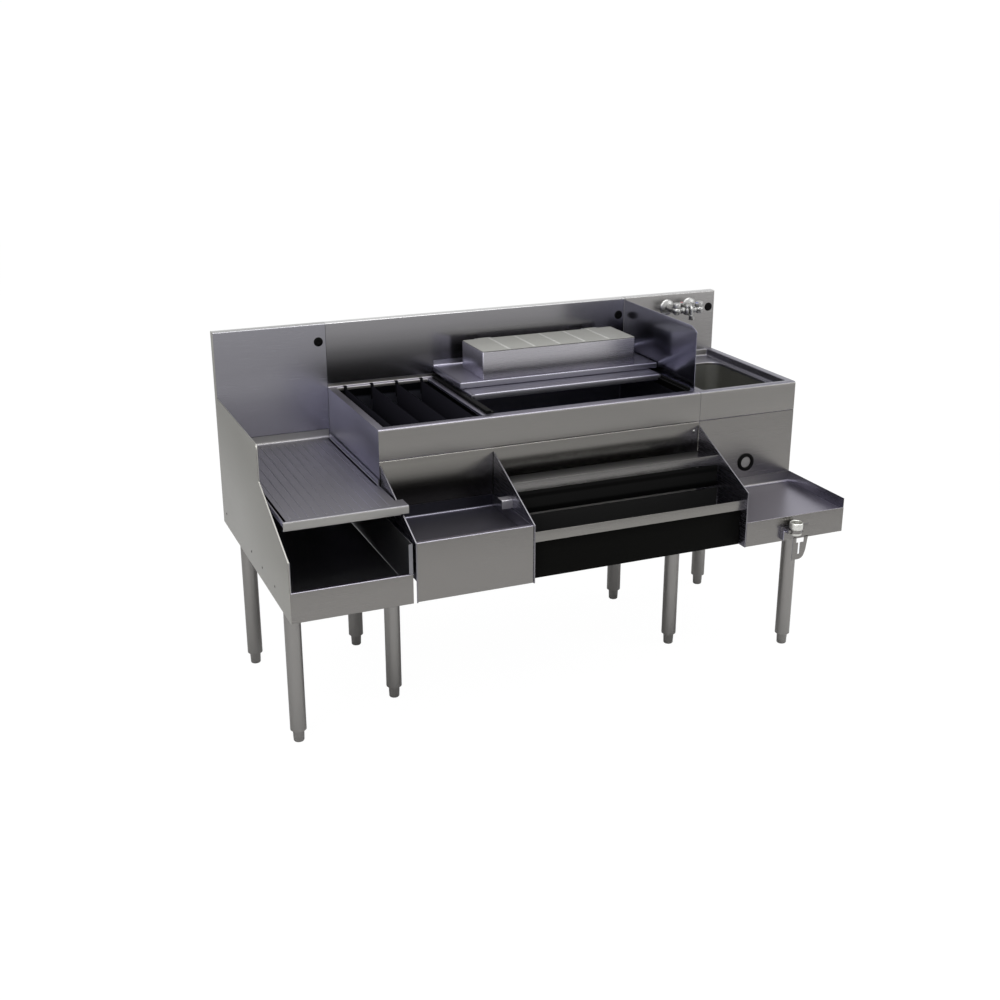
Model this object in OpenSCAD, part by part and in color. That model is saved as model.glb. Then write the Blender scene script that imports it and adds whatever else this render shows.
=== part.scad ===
// Bar station: drainboard with storage, ice bin with bottle well, and a sink, on eight legs.
// Lengths in mm. Inside each sub-part x runs from the left face, y is zero at the back face
// and negative towards the front, and z starts at the floor.

/* [Overall] */
// Length over the three modules
total_w = 1524; // [1510:1:1540]
// Width of the drainboard module
drain_w = 304.8; // [300:0.1:308]
// Width of the bottle and ice module
bin_w = 914.4; // [906:0.1:918]
// Height of the working rim
rim_z = 762; // [756:1:768]
// Height of the backsplash
splash_z = 940; // [930:1:950]
// Lowest edge of the casework
case_z = 406; // [400:1:409]
// Thickness of the backsplash
splash_t = 27; // [25:0.5:29]
// Depth of the deep casework behind the rails
body_d = 472; // [470:1:474]
// Depth to the front of the rails and shelves
front_d = 730; // [726:1:734]
// Depth to the front of the gun holder
depth_all = 772; // [771:1:780]
// Sheet steel thickness
t = 1.5; // [1.2:0.1:1.8]

/* [Drainboard and storage] */
// Height of the drainboard surface
drain_z = 621; // [616:1:624]
// Height of the storage lip
lip_z = 482; // [470:1:490]
// Height of the storage floor
store_z = 440; // [438:0.5:444]

/* [Ice bin and bottle well] */
// Depth of the ice bin below the rim
bin_deep = 292; // [270:1:298]
// Depth of the bottle well below the rim
well_deep = 222; // [200:1:240]
// Left edge of the bottle well
well_x0 = 326; // [324:1:330]
// Right edge of the bottle well
well_x1 = 592; // [588:1:594]
// Left edge of the ice bin
bin_x0 = 627; // [626:1:630]
// Right edge of the ice bin
bin_x1 = 1204; // [1200:1:1206]
// Front edge of both openings
open_front = 440; // [436:1:444]
// Diameter of the bin drain pipe
bin_drain_d = 25.4; // [22:0.1:27]

/* [Garnish shelf, cover and trays] */
// Height of the fixed shelf
shelf_z = 793; // [790:1:796]
// Front edge of the fixed shelf
shelf_front = 238; // [230:1:245]
// Front edge of the open cover
cover_front = 300; // [295:1:304]
// Height of the cover
cover_z = 776; // [774:0.5:777]
// Travel of the cover
cover_travel = 136; // [120:1:138]
// Left side of the tray box
box_x0 = 682; // [670:1:690]
// Right side of the tray box
box_x1 = 1145; // [1140:1:1150]
// Height of the tray box
box_h = 75; // [70:1:78]
// Number of pans in the tray box
pan_count = 6; // [4:1:7]

/* [Sink] */
// Height of the recessed sink deck
deck_z = 741; // [738:1:744]
// Left side of the bowl
bowl_x0 = 1250; // [1248:1:1256]
// Right side of the bowl
bowl_x1 = 1493; // [1486:1:1494]
// Back of the bowl
bowl_back = 107; // [104:1:112]
// Front of the bowl
bowl_front = 400; // [392:1:404]
// Floor of the bowl
bowl_z = 512; // [508:1:530]
// Corner radius of the bowl
bowl_r = 40; // [30:1:50]
// Diameter of the sink tailpiece
tail_d = 38.1; // [36:0.1:40]

/* [Faucet] */
// Centre of the faucet
tap_x = 1399; // [1396:1:1402]
// Height of the faucet body
tap_z = 901; // [899:1:905]
// Distance between the two inlets
tap_centres = 76; // [74:1:80]
// Distance of the faucet body from the back face
tap_y = 85; // [80:1:90]

/* [Legs] */
// Diameter of a leg tube
leg_d = 41.3; // [40:0.1:42]
// Diameter of a foot
foot_d = 31; // [29:0.5:33]
// Foot showing below the tube
foot_show = 32; // [30:0.5:38]

/* [Hidden] */
$fn = 64;
gap = 0.5;
bin_start = drain_w;
bin_end = drain_w + bin_w;
splash_y = -splash_t;
body_y = -body_d;
front_y = -front_d;
apron_z = 681;
edge_r = 6;
slope_z0 = 558;
slope_z1 = 670;
slope_y1 = body_y - 3;
pan_z = 440;
side_t = 4;
well_front = 447;
open_back = 40;
box_y0 = 228;
box_y1 = 75;
box_z0 = shelf_z;
box_z1 = shelf_z + box_h;
lid_t = 3;
hinge_y = -70;
plug_z = 891;
plug_d = 25.4;
bar_low_z = 507;
bar_low_h = 26;
bar_low_y = -712;
bar_up_z = 597;
bar_up_h = 22;
bar_up_y = -583;
cup_x = 1357;
cup_y = -754;
grommet_x = 1375.8;
grommet_z = 544.4;
sink_mid_x = (bowl_x0 + bowl_x1) / 2;
sink_mid_y = -(bowl_back + bowl_front) / 2;
bin_mid_x = (bin_x0 + bin_x1) / 2;
bin_mid_y = -(open_front + open_back) / 2;
leg_top = 430;
screw_d = 9;
shank_d = 20.6;
step_z = 434;
screw_h = 1.1;
screw_z = 443;

leg_places = [
  [46, -549], [46, -76], [342, -421], [342, -76],
  [1183, -421], [1183, -76], [1488, -549], [1488, -76]];

// Moves the station so the floor centre of its outline is the origin.
module place() {
  translate([-total_w / 2, depth_all / 2, 0]) children();
}

// Box between two corners.
module slab(x0, x1, y0, y1, z0, z1) {
  translate([x0, y0, z0]) cube([x1 - x0, y1 - y0, z1 - z0]);
}

// Round bar standing on z0.
module post(x, y, z0, z1, d) {
  translate([x, y, z0]) cylinder(d = d, h = z1 - z0);
}

// Round bar lying front to back.
module bar_y(x, z, y0, y1, d) {
  translate([x, y1, z]) rotate([90, 0, 0]) cylinder(d = d, h = y1 - y0);
}

// Round bar lying left to right.
module bar_x(y, z, x0, x1, d) {
  translate([x0, y, z]) rotate([0, 90, 0]) cylinder(d = d, h = x1 - x0);
}

// Side-view outline pulled along the length.
module along_x(x0, x1) {
  translate([x0, 0, 0]) rotate([90, 0, 90]) linear_extrude(x1 - x0) children();
}

// Plain rectangle between two corners.
module rect(a0, a1, b0, b1) {
  translate([a0, b0]) square([a1 - a0, b1 - b0]);
}

// Quarter bend of sheet. The quadrant is given by the signs of qa and qb.
module bend(a, b, r_in, qa, qb) {
  translate([a, b]) intersection() {
    difference() {
      circle(r = r_in + t);
      circle(r = r_in);
    }
    scale([qa, qb]) square(r_in + t);
  }
}

// Outline of the end panel and of the plates between the rails.
module side_outline(drop, y_back, grow) {
  polygon([
    [front_y + drop, case_z + drop], [front_y + drop, slope_z0 - drop * grow],
    [slope_y1 + drop * 0.4, slope_z1 - drop * grow], [y_back - drop, slope_z1 - drop * grow],
    [y_back - drop, case_z + drop]]);
}

// Front apron in side view, with its rounded top edge and bottom return.
module apron_profile() {
  rect(body_y, body_y + t, apron_z, rim_z - edge_r);
  rect(body_y, body_y + 14, apron_z, apron_z + t);
  bend(body_y + edge_r, rim_z - edge_r, edge_r - t, -1, 1);
}

// Upright side wall from front to back, notched for the apron's bottom return.
module side_wall(x0, x1, y_front, y_back, z0) {
  difference() {
    slab(x0, x1, y_front, y_back, z0, rim_z - t);
    slab(x0 - 1, x1 + 1, body_y - 1, body_y + 14.3, apron_z - 0.3, apron_z + t + 0.3);
  }
}

// Rounded rectangle.
module soft_rect(x0, x1, y0, y1, r) {
  rect(x0 + r, x1 - r, y0, y1);
  rect(x0, x1, y0 + r, y1 - r);
  translate([x0 + r, y0 + r]) circle(r = r);
  translate([x1 - r, y0 + r]) circle(r = r);
  translate([x0 + r, y1 - r]) circle(r = r);
  translate([x1 - r, y1 - r]) circle(r = r);
}

// Open-topped box of sheet with its inside given.
module liner(x0, x1, y0, y1, z0, z1) {
  difference() {
    slab(x0 - t, x1 + t, y0 - t, y1 + t, z0 - t, z1);
    slab(x0, x1, y0, y1, z0, z1 + 1);
  }
}

// Pan of folded sheet that makes one length of backsplash and the rear panel under it.
module splash_pan(x0, x1, z0) {
  difference() {
    slab(x0, x1, splash_y, 0, z0, splash_z);
    slab(x0 + t, x1 - t, splash_y + t, 1, z0 - 1, splash_z - t);
  }
  slab(x0, x1, splash_y, 0, z0, z0 + t);
}

module end_panel_left() {
  color([0.56, 0.56, 0.54]) place() {
    difference() {
      along_x(0, t) polygon([
        [0, case_z], [front_y, case_z], [front_y, slope_z0], [slope_y1, slope_z1],
        [slope_y1, rim_z - 12], [slope_y1 + 3.5, rim_z - 3.5], [slope_y1 + 12, rim_z],
        [splash_y + 2, rim_z], [splash_y + 2, splash_z], [0, splash_z]]);
      for (y = [-45, -343, -458, -585]) bar_x(y, screw_z, -1, screw_h, screw_d + 0.4);
    }
    difference() {
      along_x(t, side_t) side_outline(0, splash_y - 1, 0);
      along_x(t - 1, side_t + 1) side_outline(t, splash_y - 1, 1.2);
      slab(t - 1, side_t + 1, front_y - 1, front_y + t + 0.3, case_z - 1, lip_z + 0.3);
    }
    slab(t, side_t, slope_y1, slope_y1 + t, slope_z1 - t, rim_z - 12);
    slab(t, side_t, slope_y1 + 12, splash_y - 1, rim_z - t, rim_z);
  }
}

module end_panel_inner() {
  color([0.3, 0.3, 0.3]) place() {
    slab(296.5, 298, front_y + t + 0.2, -31, case_z, slope_z0);
    slab(288, 298, front_y, front_y + t, lip_z + 1, slope_z0);
    slab(296.5, 298, front_y, front_y + t + 1, lip_z + 1, slope_z0);
  }
}

module drainboard() {
  color([0.42, 0.41, 0.45]) place() {
    along_x(16, 301.5) {
      rect(-640, -38, drain_z - t, drain_z);
      bend(-38.5, drain_z + 8, 8, 1, -1);
      rect(-30.5, -29, drain_z + 8, 645);
      rect(-640, -638.5, 598, drain_z);
    }
    slab(300, 301.5, -474, -40, drain_z - t, 635);
    slab(301, 322, -640, -594, drain_z - t, drain_z);
    slab(301, 322, -640, -638.5, 600, drain_z);
    for (rib = [1 : 12])
      slab(16 + rib * 21.5, 19 + rib * 21.5, -622, -60, drain_z - 0.2, drain_z + 0.8);
  }
}

module storage_tray() {
  color([0.1, 0.1, 0.1]) place() {
    slab(4.5, 295.5, front_y + t, -30, store_z - t, store_z);
    slab(t + 0.3, 298, front_y, front_y + t, case_z, lip_z);
    slab(t + 0.3, 296.3, front_y, front_y + 12, lip_z - t, lip_z);
    slab(4.5, 6, front_y + t, -30, store_z - t, 556);
    slab(4.5, 295.5, -31.5, -30, store_z - t, 612);
  }
}

module backsplash_left() {
  color([0.48, 0.47, 0.45]) place() splash_pan(t + 0.1, bin_start - gap, case_z);
}

module backsplash_centre() {
  color([0.48, 0.47, 0.45]) place() difference() {
    splash_pan(bin_start + gap, bin_end - gap, case_z);
    bar_y(284.5, plug_z, splash_y - 1, 1, plug_d - 3);
  }
}

module backsplash_right() {
  color([0.48, 0.47, 0.45]) place() difference() {
    splash_pan(bin_end + gap, total_w, case_z);
    for (side = [-1, 1])
      bar_y(tap_x + side * tap_centres / 2, tap_z, splash_y - 1, splash_y + t + 1, shank_d + 2.4);
  }
}

module splash_plugs() {
  color([0.03, 0.03, 0.03]) place()
    for (x = [284.5, 1197.7, 1505]) bar_y(x, plug_z, splash_y - 2, splash_y, plug_d);
}

module centre_deck() {
  color([0.42, 0.41, 0.45]) place() {
    difference() {
      slab(bin_start, bin_end, body_y + edge_r, splash_y, rim_z - t, rim_z);
      slab(well_x0, well_x1, -well_front, -open_back, rim_z - 5, rim_z + 1);
      slab(bin_x0, bin_x1, -open_front, -open_back, rim_z - 5, rim_z + 1);
    }
    along_x(bin_start, bin_end) {
      apron_profile();
      rect(splash_y - t - 0.1, splash_y - 0.1, rim_z - t, rim_z + 10);
    }
  }
}

module centre_side_left() {
  color([0.35, 0.35, 0.36]) place() {
    side_wall(bin_start, bin_start + t, body_y + t + 0.2, splash_y - 0.2, case_z);
  }
}

module centre_side_right() {
  color([0.35, 0.35, 0.36]) place() {
    side_wall(bin_end - t, bin_end, body_y + t + 0.2, splash_y - 0.2, case_z);
  }
}

module centre_front_panel() {
  color([0.4, 0.4, 0.4]) place() {
    slab(bin_start, bin_end - gap, body_y, body_y + t, case_z, apron_z - 0.5);
    slab(bin_start + 2, bin_end - 2, body_y, body_y + 12, case_z, case_z + t);
  }
}

module centre_underpan() {
  color([0.3, 0.3, 0.3]) place() difference() {
    union() {
      slab(bin_start + 2, bin_end - 2, body_y + 13, splash_y - 2, pan_z - t, pan_z);
      slab(bin_start + 2, bin_end - 2, body_y + 13, body_y + 13 + t, pan_z - 20, pan_z);
      slab(bin_start + 2, bin_end - 2, splash_y - 2 - t, splash_y - 2, pan_z - 20, pan_z);
    }
    post(bin_mid_x, bin_mid_y, pan_z - 5, pan_z + 5, bin_drain_d + 6);
  }
}

module bin_liner() {
  color([0.15, 0.15, 0.15]) place() difference() {
    union() {
      liner(bin_x0, bin_x1, -open_front, -open_back, rim_z - bin_deep, rim_z - t);
      difference() {
        slab(bin_x0 - 9, bin_x1 + 9, -open_front - 9, -open_back + 8, rim_z - t - t, rim_z - t);
        slab(bin_x0, bin_x1, -open_front, -open_back, rim_z - 5, rim_z);
      }
    }
    post(bin_mid_x, bin_mid_y, rim_z - bin_deep - 5, rim_z - bin_deep + 5, bin_drain_d + 0.6);
  }
}

module well_liner() {
  color([0.08, 0.08, 0.08]) place() {
    liner(well_x0, well_x1, -well_front, -open_back, rim_z - well_deep, rim_z - t);
    difference() {
      slab(well_x0 - 9, well_x1 + 9, -well_front - 9, -open_back + 8, rim_z - t - t, rim_z - t);
      slab(well_x0, well_x1, -well_front, -open_back, rim_z - 5, rim_z);
    }
  }
}

module insulation() {
  color([0.85, 0.8, 0.6]) place() difference() {
    slab(bin_start + 6, bin_end - 6, body_y + 16, splash_y - 4, pan_z + 1, rim_z - 14);
    slab(bin_x0 - t - gap, bin_x1 + t + gap, -open_front - t - gap, -open_back + t + gap,
      rim_z - bin_deep - t - gap, rim_z);
    slab(well_x0 - t - gap, well_x1 + t + gap, -well_front - t - gap, -open_back + t + gap,
      rim_z - well_deep - t - gap, rim_z);
    post(bin_mid_x, bin_mid_y, pan_z - 5, rim_z, bin_drain_d + 24);
    bar_y(1203, 655, body_y, body_y + 20, 14);
  }
}

module bin_drain() {
  color([0.6, 0.6, 0.6]) place() difference() {
    union() {
      post(bin_mid_x, bin_mid_y, rim_z - bin_deep, rim_z - bin_deep + 1.5, 44);
      post(bin_mid_x, bin_mid_y, 386, rim_z - bin_deep + 1, bin_drain_d);
      post(bin_mid_x, bin_mid_y, step_z, rim_z - bin_deep - t, bin_drain_d + 2);
      post(bin_mid_x, bin_mid_y, rim_z - bin_deep - 9, rim_z - bin_deep - t, 36);
    }
    post(bin_mid_x, bin_mid_y, 380, rim_z, bin_drain_d - 5);
  }
}

module bottle_dividers() {
  color([0.12, 0.12, 0.12]) place() for (x = [351, 427, 498.4, 572]) {
    slab(x - 1, x + 1, -well_front + 1, -open_back - 1, 650, rim_z - 4);
    slab(x - 4, x + 4, -open_back - 2.5, -open_back - 1, 720, rim_z + 2);
    slab(x - 4, x + 4, -open_back - 2.5, splash_y - 4, rim_z + 0.3, rim_z + 2);
  }
}

module garnish_shelf() {
  color([0.44, 0.43, 0.47]) place() {
    along_x(612, 1213) {
      rect(-shelf_front, -34, shelf_z - t, shelf_z);
      rect(-shelf_front, -shelf_front + t, cover_z + 1, shelf_z);
      bend(-34.8, shelf_z + 6, 6, 1, -1);
      rect(-28.8, splash_y - 0.3, shelf_z + 6, shelf_z + 16);
    }
    slab(612, 612 + t, -shelf_front, splash_y - 1, cover_z + 1, shelf_z);
    slab(1213 - t, 1213, -shelf_front, splash_y - 1, cover_z + 1, shelf_z);
  }
}

module cover_guides() {
  color([0.05, 0.05, 0.05]) place() {
    slab(604, bin_x0, -open_front, -open_back, rim_z, rim_z + 3);
    slab(604, 618, -open_front, -open_back, rim_z, rim_z + 8);
    slab(bin_x1 - 3, bin_x1, -open_front + 1, -open_back - 1, 740, rim_z + 3);
    slab(1186, bin_x1, -open_front + 1, -open_back - 1, rim_z, rim_z + 3);
    slab(1194, bin_x1, -open_front + 1, -open_back - 1, rim_z, rim_z + 8);
  }
}

module sliding_cover() {
  color([0.48, 0.47, 0.5]) place() {
    slab(620, 1192, -cover_front, -62, cover_z - t, cover_z);
    slab(620, 620 + t, -cover_front, -62, rim_z + 3.3, cover_z);
    slab(1192 - t, 1192, -cover_front, -62, rim_z + 3.3, cover_z);
    slab(629, 1184, -cover_front, -cover_front + t, 759, cover_z);
    slab(629, 1184, -cover_front, -cover_front + 11, 759, 759 + t);
    slab(620, 1192, -cover_front, -cover_front + t, rim_z + 3.3, cover_z);
  }
}

module tray_box() {
  color([0.35, 0.36, 0.36]) place() {
    difference() {
      slab(box_x0, box_x1, -box_y0, -box_y1, box_z0, box_z1);
      slab(box_x0 + 3, box_x1 - 3, -box_y0 + 3, -box_y1 - 3, box_z0 + 3, box_z1 + 1);
    }
    for (side = [0, 1]) {
      x = side == 0 ? box_x0 + 40 : box_x1 - 90;
      slab(x, x + 6, -box_y1 - 2, hinge_y + 5, box_z1 - 12, box_z1 + 2);
      slab(x + 44, x + 50, -box_y1 - 2, hinge_y + 5, box_z1 - 12, box_z1 + 2);
      bar_x(hinge_y, box_z1 - 1, x, x + 50, 3);
    }
  }
}

module tray_pans() {
  inner = box_x1 - box_x0 - 6;
  pitch = inner / pan_count;
  color([0.4, 0.41, 0.41]) place() for (i = [0 : pan_count - 1]) {
    x = box_x0 + 3 + i * pitch;
    difference() {
      slab(x + 1, x + pitch - 1, -box_y0 + 4, -box_y1 - 4, box_z0 + 4, box_z1 - 1);
      slab(x + 3, x + pitch - 3, -box_y0 + 6, -box_y1 - 6, box_z0 + 6, box_z1);
    }
  }
}

module tray_lid() {
  color([0.72, 0.72, 0.71]) place() difference() {
    union() {
      slab(box_x0, box_x1, -box_y0, -box_y1 - 3, box_z1 + 0.5, box_z1 + 0.5 + lid_t);
      slab(box_x0 + 92, box_x1 - 92, -box_y1 - 4, -box_y1 + 1, box_z1 + 0.5, box_z1 + 0.5 + lid_t);
      for (side = [0, 1]) {
        x = side == 0 ? box_x0 + 40 : box_x1 - 90;
        bar_x(hinge_y, box_z1 - 1, x + 7, x + 43, 7);
        slab(x + 7, x + 43, -box_y1 - 4, hinge_y, box_z1 + 0.5, box_z1 + 2.5);
      }
    }
    for (side = [0, 1]) {
      x = side == 0 ? box_x0 + 40 : box_x1 - 90;
      bar_x(hinge_y, box_z1 - 1, x + 6, x + 44, 3.2);
    }
  }
}

module splash_guard() {
  color([0.5, 0.5, 0.5]) place() {
    along_x(1214.9, 1216.4) {
      difference() {
        rect(-441, splash_y - 1.8, rim_z, 935);
        polygon([[-442, 923], [-411, 936], [-442, 936]]);
      }
    }
    slab(1205, 1216, -441, splash_y - 2, rim_z, rim_z + t);
  }
}

module sink_deck() {
  color([0.42, 0.41, 0.45]) place() {
    difference() {
      slab(bin_end + gap, total_w, body_y + edge_r, splash_y, rim_z - t, rim_z);
      slab(bin_end + 19, total_w - 19, body_y + 22, splash_y - 6, rim_z - 5, rim_z + 1);
    }
    difference() {
      liner(bin_end + 19, total_w - 19, body_y + 22, splash_y - 6, deck_z, rim_z - t);
      translate([0, 0, deck_z - 5]) linear_extrude(10)
        soft_rect(bowl_x0, bowl_x1, -bowl_front, -bowl_back, bowl_r);
    }
    along_x(bin_end + gap, total_w) apron_profile();
  }
}

module sink_bowl() {
  color([0.2, 0.2, 0.2]) place() difference() {
    union() {
      translate([0, 0, bowl_z - t]) linear_extrude(deck_z - t - bowl_z + t)
        soft_rect(bowl_x0 - t, bowl_x1 + t, -bowl_front - t, -bowl_back + t, bowl_r + t);
      translate([0, 0, deck_z - 2 * t]) linear_extrude(t)
        soft_rect(bowl_x0 - 9, bowl_x1 + 9, -bowl_front - 9, -bowl_back + 9, bowl_r + 9);
    }
    translate([0, 0, bowl_z]) linear_extrude(deck_z)
      soft_rect(bowl_x0, bowl_x1, -bowl_front, -bowl_back, bowl_r);
    post(sink_mid_x, sink_mid_y, bowl_z - 5, bowl_z + 5, 62);
  }
}

module sink_drain() {
  color([0.7, 0.7, 0.7]) place() translate([sink_mid_x, sink_mid_y, 0]) rotate_extrude()
    polygon([
      [43, bowl_z], [43, bowl_z + 1.5], [27, bowl_z + 1.5], [27, bowl_z - 22],
      [tail_d / 2 - 2.5, bowl_z - 22], [tail_d / 2 - 2.5, 384], [tail_d / 2, 384],
      [tail_d / 2, step_z], [tail_d / 2 + 1.5, step_z], [tail_d / 2 + 1.5, bowl_z - 26], [30.5, bowl_z - 26], [30.5, bowl_z - 12], [38, bowl_z - 12],
      [38, bowl_z - t], [30.5, bowl_z - t], [30.5, bowl_z]]);
}

module drain_basket() {
  color([0.7, 0.7, 0.7]) place() translate([sink_mid_x, sink_mid_y, 0]) {
    difference() {
      post(0, 0, bowl_z - 21, bowl_z + 3.2, 52);
      post(0, 0, bowl_z - 19.5, bowl_z + 4, 49);
      for (ring = [0 : 7])
        rotate([0, 0, ring * 45]) post(15, 0, bowl_z - 24, bowl_z - 15, 5);
    }
    post(0, 0, bowl_z - 20, bowl_z + 6, 6);
    post(0, 0, bowl_z + 6, bowl_z + 10, 14);
  }
}

module sink_frame() {
  color([0.3, 0.3, 0.3]) place() {
    side_wall(bin_end + gap, bin_end + gap + t, body_y + t + 1, splash_y - 1, pan_z - t);
    difference() {
      slab(bin_end + gap, total_w - t - 0.3, body_y + t + 1, splash_y - 1, pan_z - t, pan_z);
      slab(1250, 1480, -440, -118, pan_z - t - 1, pan_z + 1);
    }
  }
}

module faucet_body() {
  color([0.8, 0.8, 0.8]) place() {
    difference() {
      union() {
        for (side = [-1, 1]) {
          x = tap_x + side * tap_centres / 2;
          bar_y(x, tap_z, splash_y - 6, splash_y, 48);
          bar_y(x, tap_z, -tap_y, splash_y - 5, 22);
          bar_y(x, tap_z, splash_y - 1, splash_y + 11, shank_d + 1.6);
          bar_y(x, tap_z, splash_y, splash_y + 24, shank_d);
          post(x, -tap_y, tap_z, tap_z + 9, 23);
          translate([x, -tap_y, tap_z]) sphere(d = 28);
        }
        bar_x(-tap_y, tap_z, tap_x - tap_centres / 2, tap_x + tap_centres / 2, 20);
        post(tap_x, -tap_y, tap_z - 15, tap_z + 7, 26);
      }
      // Room over the valves for the hubs and over the boss for the spout's collar.
      for (side = [-1, 1])
        post(tap_x + side * tap_centres / 2, -tap_y, tap_z + 8, tap_z + 30, 27);
      post(tap_x, -tap_y, tap_z + 6, tap_z + 30, 29);
    }
    for (side = [-1, 1])
      post(tap_x + side * tap_centres / 2, -tap_y, tap_z, tap_z + 15, 10);
  }
}

module faucet_nuts() {
  color([0.72, 0.6, 0.3]) place() for (side = [-1, 1])
    difference() {
      translate([tap_x + side * tap_centres / 2, splash_y + t + 8, tap_z]) rotate([90, 0, 0])
        cylinder(d = 34, h = 8, $fn = 6);
      bar_y(tap_x + side * tap_centres / 2, tap_z, splash_y - 2, 2, shank_d + 2.2);
    }
}

module faucet_spout() {
  color([0.8, 0.8, 0.8]) place() {
    post(tap_x, -tap_y, tap_z + 6.4, tap_z + 16.5, 25);
    translate([tap_x, -tap_y, tap_z + 12]) rotate([90, 0, 0]) cylinder(d = 11, h = 22);
    translate([tap_x, -tap_y - 22, tap_z + 12]) sphere(d = 11);
    post(tap_x, -tap_y - 22, tap_z - 20, tap_z + 12, 11);
    post(tap_x, -tap_y - 22, tap_z - 26, tap_z - 12, 16);
  }
}

// Hub over a valve stem with a flat lever turned by the angle from the back.
module tap_handle(x, angle) {
  translate([x, -tap_y, tap_z]) {
    difference() {
      post(0, 0, 8.5, 23, 25);
      post(0, 0, 7, 15.4, 10.6);
    }
    rotate([0, 0, angle]) slab(-6, 6, 0, 30, 18.5, 22.5);
    rotate([0, 0, angle]) post(0, 30, 18.5, 22.5, 12);
  }
}

module hot_handle() {
  color([0.8, 0.8, 0.8]) place() tap_handle(tap_x - tap_centres / 2, -75);
}

module cold_handle() {
  color([0.8, 0.8, 0.8]) place() tap_handle(tap_x + tap_centres / 2, 135);
}

module sink_front_panel() {
  color([0.42, 0.42, 0.42]) place() difference() {
    slab(bin_end + gap, total_w, body_y, body_y + t, 500, apron_z - 0.5);
    bar_y(grommet_x, grommet_z, body_y - 1, body_y + 3, 44);
  }
}

module sink_side_right() {
  color([0.42, 0.42, 0.42]) place()
    side_wall(total_w - t, total_w, body_y + t + 0.2, splash_y - 0.2, case_z);
}

module hose_grommet() {
  color([0.03, 0.03, 0.03]) place() translate([grommet_x, body_y + t / 2, grommet_z])
    rotate([90, 0, 0]) rotate_extrude()
      polygon([
        [16, -5], [25.5, -5], [25.5, -t / 2], [21.7, -t / 2],
        [21.7, t / 2], [25.5, t / 2], [25.5, 5], [16, 5]]);
}

module lower_shelf() {
  color([0.46, 0.45, 0.45]) place() {
    along_x(bin_end + gap, total_w) {
      rect(front_y, -482, 468.5, 470);
      rect(front_y, front_y + t, case_z, 475);
      bend(-482.5, 478, 8, 1, -1);
      rect(-474.5, -473, 478, 500.5);
      rect(front_y, front_y + 14, case_z, case_z + t);
    }
    slab(total_w - t, total_w, front_y, -473, case_z, 500.5);
  }
}

module gun_holder() {
  color([0.35, 0.34, 0.37]) place() {
    slab(1326, 1415, front_y - t, front_y, 411, 446);
    slab(1326, 1343, -745, front_y, 412, 440);
    translate([0, front_y, 0]) rotate([90, 0, 0]) linear_extrude(t) difference() {
      polygon([
        [1368, 412], [1368, 346], [1390, 346], [1396, 347.5], [1401, 351], [1405, 357],
        [1408, 365], [1410, 372], [1415, 406], [1415, 412]]);
      rect(1376, 1403, 394, 410.5);
      rect(1385.5, 1391.5, 361, 395);
    }
    difference() {
      slab(1332, 1382, -756.5, front_y, 436, 446);
      post(cup_x, cup_y, 430, 450, 31.2);
    }
  }
}

module gun_cup() {
  color([0.7, 0.7, 0.68]) place() translate([cup_x, cup_y, 0]) rotate_extrude()
    polygon([
      [0, 430.5], [15, 430.5], [15, 446.3], [18, 446.3], [18, 465], [16, 465],
      [16, 449], [13.3, 446], [13.3, 432.5], [0, 432.5]]);
}

// Plate between two lower bays. The lower edge behind the front return starts at z_low.
module rail_plate(x0, x1, z_low) {
  along_x(x0, x1) polygon([
    [front_y, z_low], [front_y, slope_z0], [slope_y1, slope_z1], [slope_y1, z_low]]);
}

module rail_plate_left() {
  color([0.4, 0.4, 0.4]) place() {
    rail_plate(306, 309.5, 462);
    slab(306, 309.5, front_y, front_y + t, case_z, 463);
  }
}

module rail_plate_mid() {
  color([0.4, 0.4, 0.4]) place() {
    rail_plate(609.6, 613, case_z);
    slab(580.5, 610, -598, -596.5, 559, 581.6);
    slab(580.5, 610, -598, -570, 580.1, 581.6);
    slab(608.1, 610, -598, -570, 559, 581.6);
  }
}

module rail_plate_right() {
  color([0.4, 0.4, 0.4]) place() rail_plate(bin_end - 3, bin_end, case_z);
}

module blender_shelf() {
  color([0.25, 0.25, 0.27]) place() {
    slab(310, 609, front_y + 3, front_y + 3 + t, case_z, 557);
    slab(310, 609, front_y + 3, front_y + 15, 555.5, 557);
    slab(310, 609, front_y + 3, -473.5, 523.5, 525);
    slab(310, 609, -475, -473.5, 523.5, 557);
    slab(310, 311.5, front_y + 3, -473.5, 523.5, 557);
    slab(607.5, 609, front_y + 3, -473.5, 523.5, 557);
  }
}

module rail_tray_upper() {
  color([0.12, 0.12, 0.12]) place() {
    slab(616, 1214, -580, -474, 530, 530 + t);
    slab(616, 1214, -581.5, -580, 530, 590);
    slab(616, 1214, -475.5, -474, 530, 556);
  }
}

module rail_tray_lower() {
  color([0.06, 0.06, 0.06]) place() {
    slab(616, 1214, -702, -585, case_z + 1, case_z + 1 + t);
    slab(616, 1214, -703.5, -702, case_z + 1, 503);
    slab(616, 1214, -585, -583.5, case_z + 1, 528);
  }
}

module rail_bars() {
  color([0.5, 0.5, 0.48]) place() {
    slab(613.2, 1216, bar_up_y - 3, bar_up_y, bar_up_z, bar_up_z + bar_up_h);
    slab(613.2, 1216, bar_low_y - 3, bar_low_y, bar_low_z, bar_low_z + bar_low_h);
  }
}

// Ring and plate that hold the top of one leg.
module leg_socket(x, y, z_top) {
  slab(x - 34, x + 34, y - 34, y + 34, z_top - 3, z_top);
  difference() {
    post(x, y, case_z + 2, z_top - 2, leg_d + 6);
    post(x, y, case_z, leg_top + 0.3, leg_d + 0.6);
  }
}

module leg_sockets() {
  color([0.3, 0.3, 0.3]) place() for (i = [0 : 7])
    leg_socket(leg_places[i][0], leg_places[i][1], i == 6 ? 468.5 : pan_z - t);
}

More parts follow.
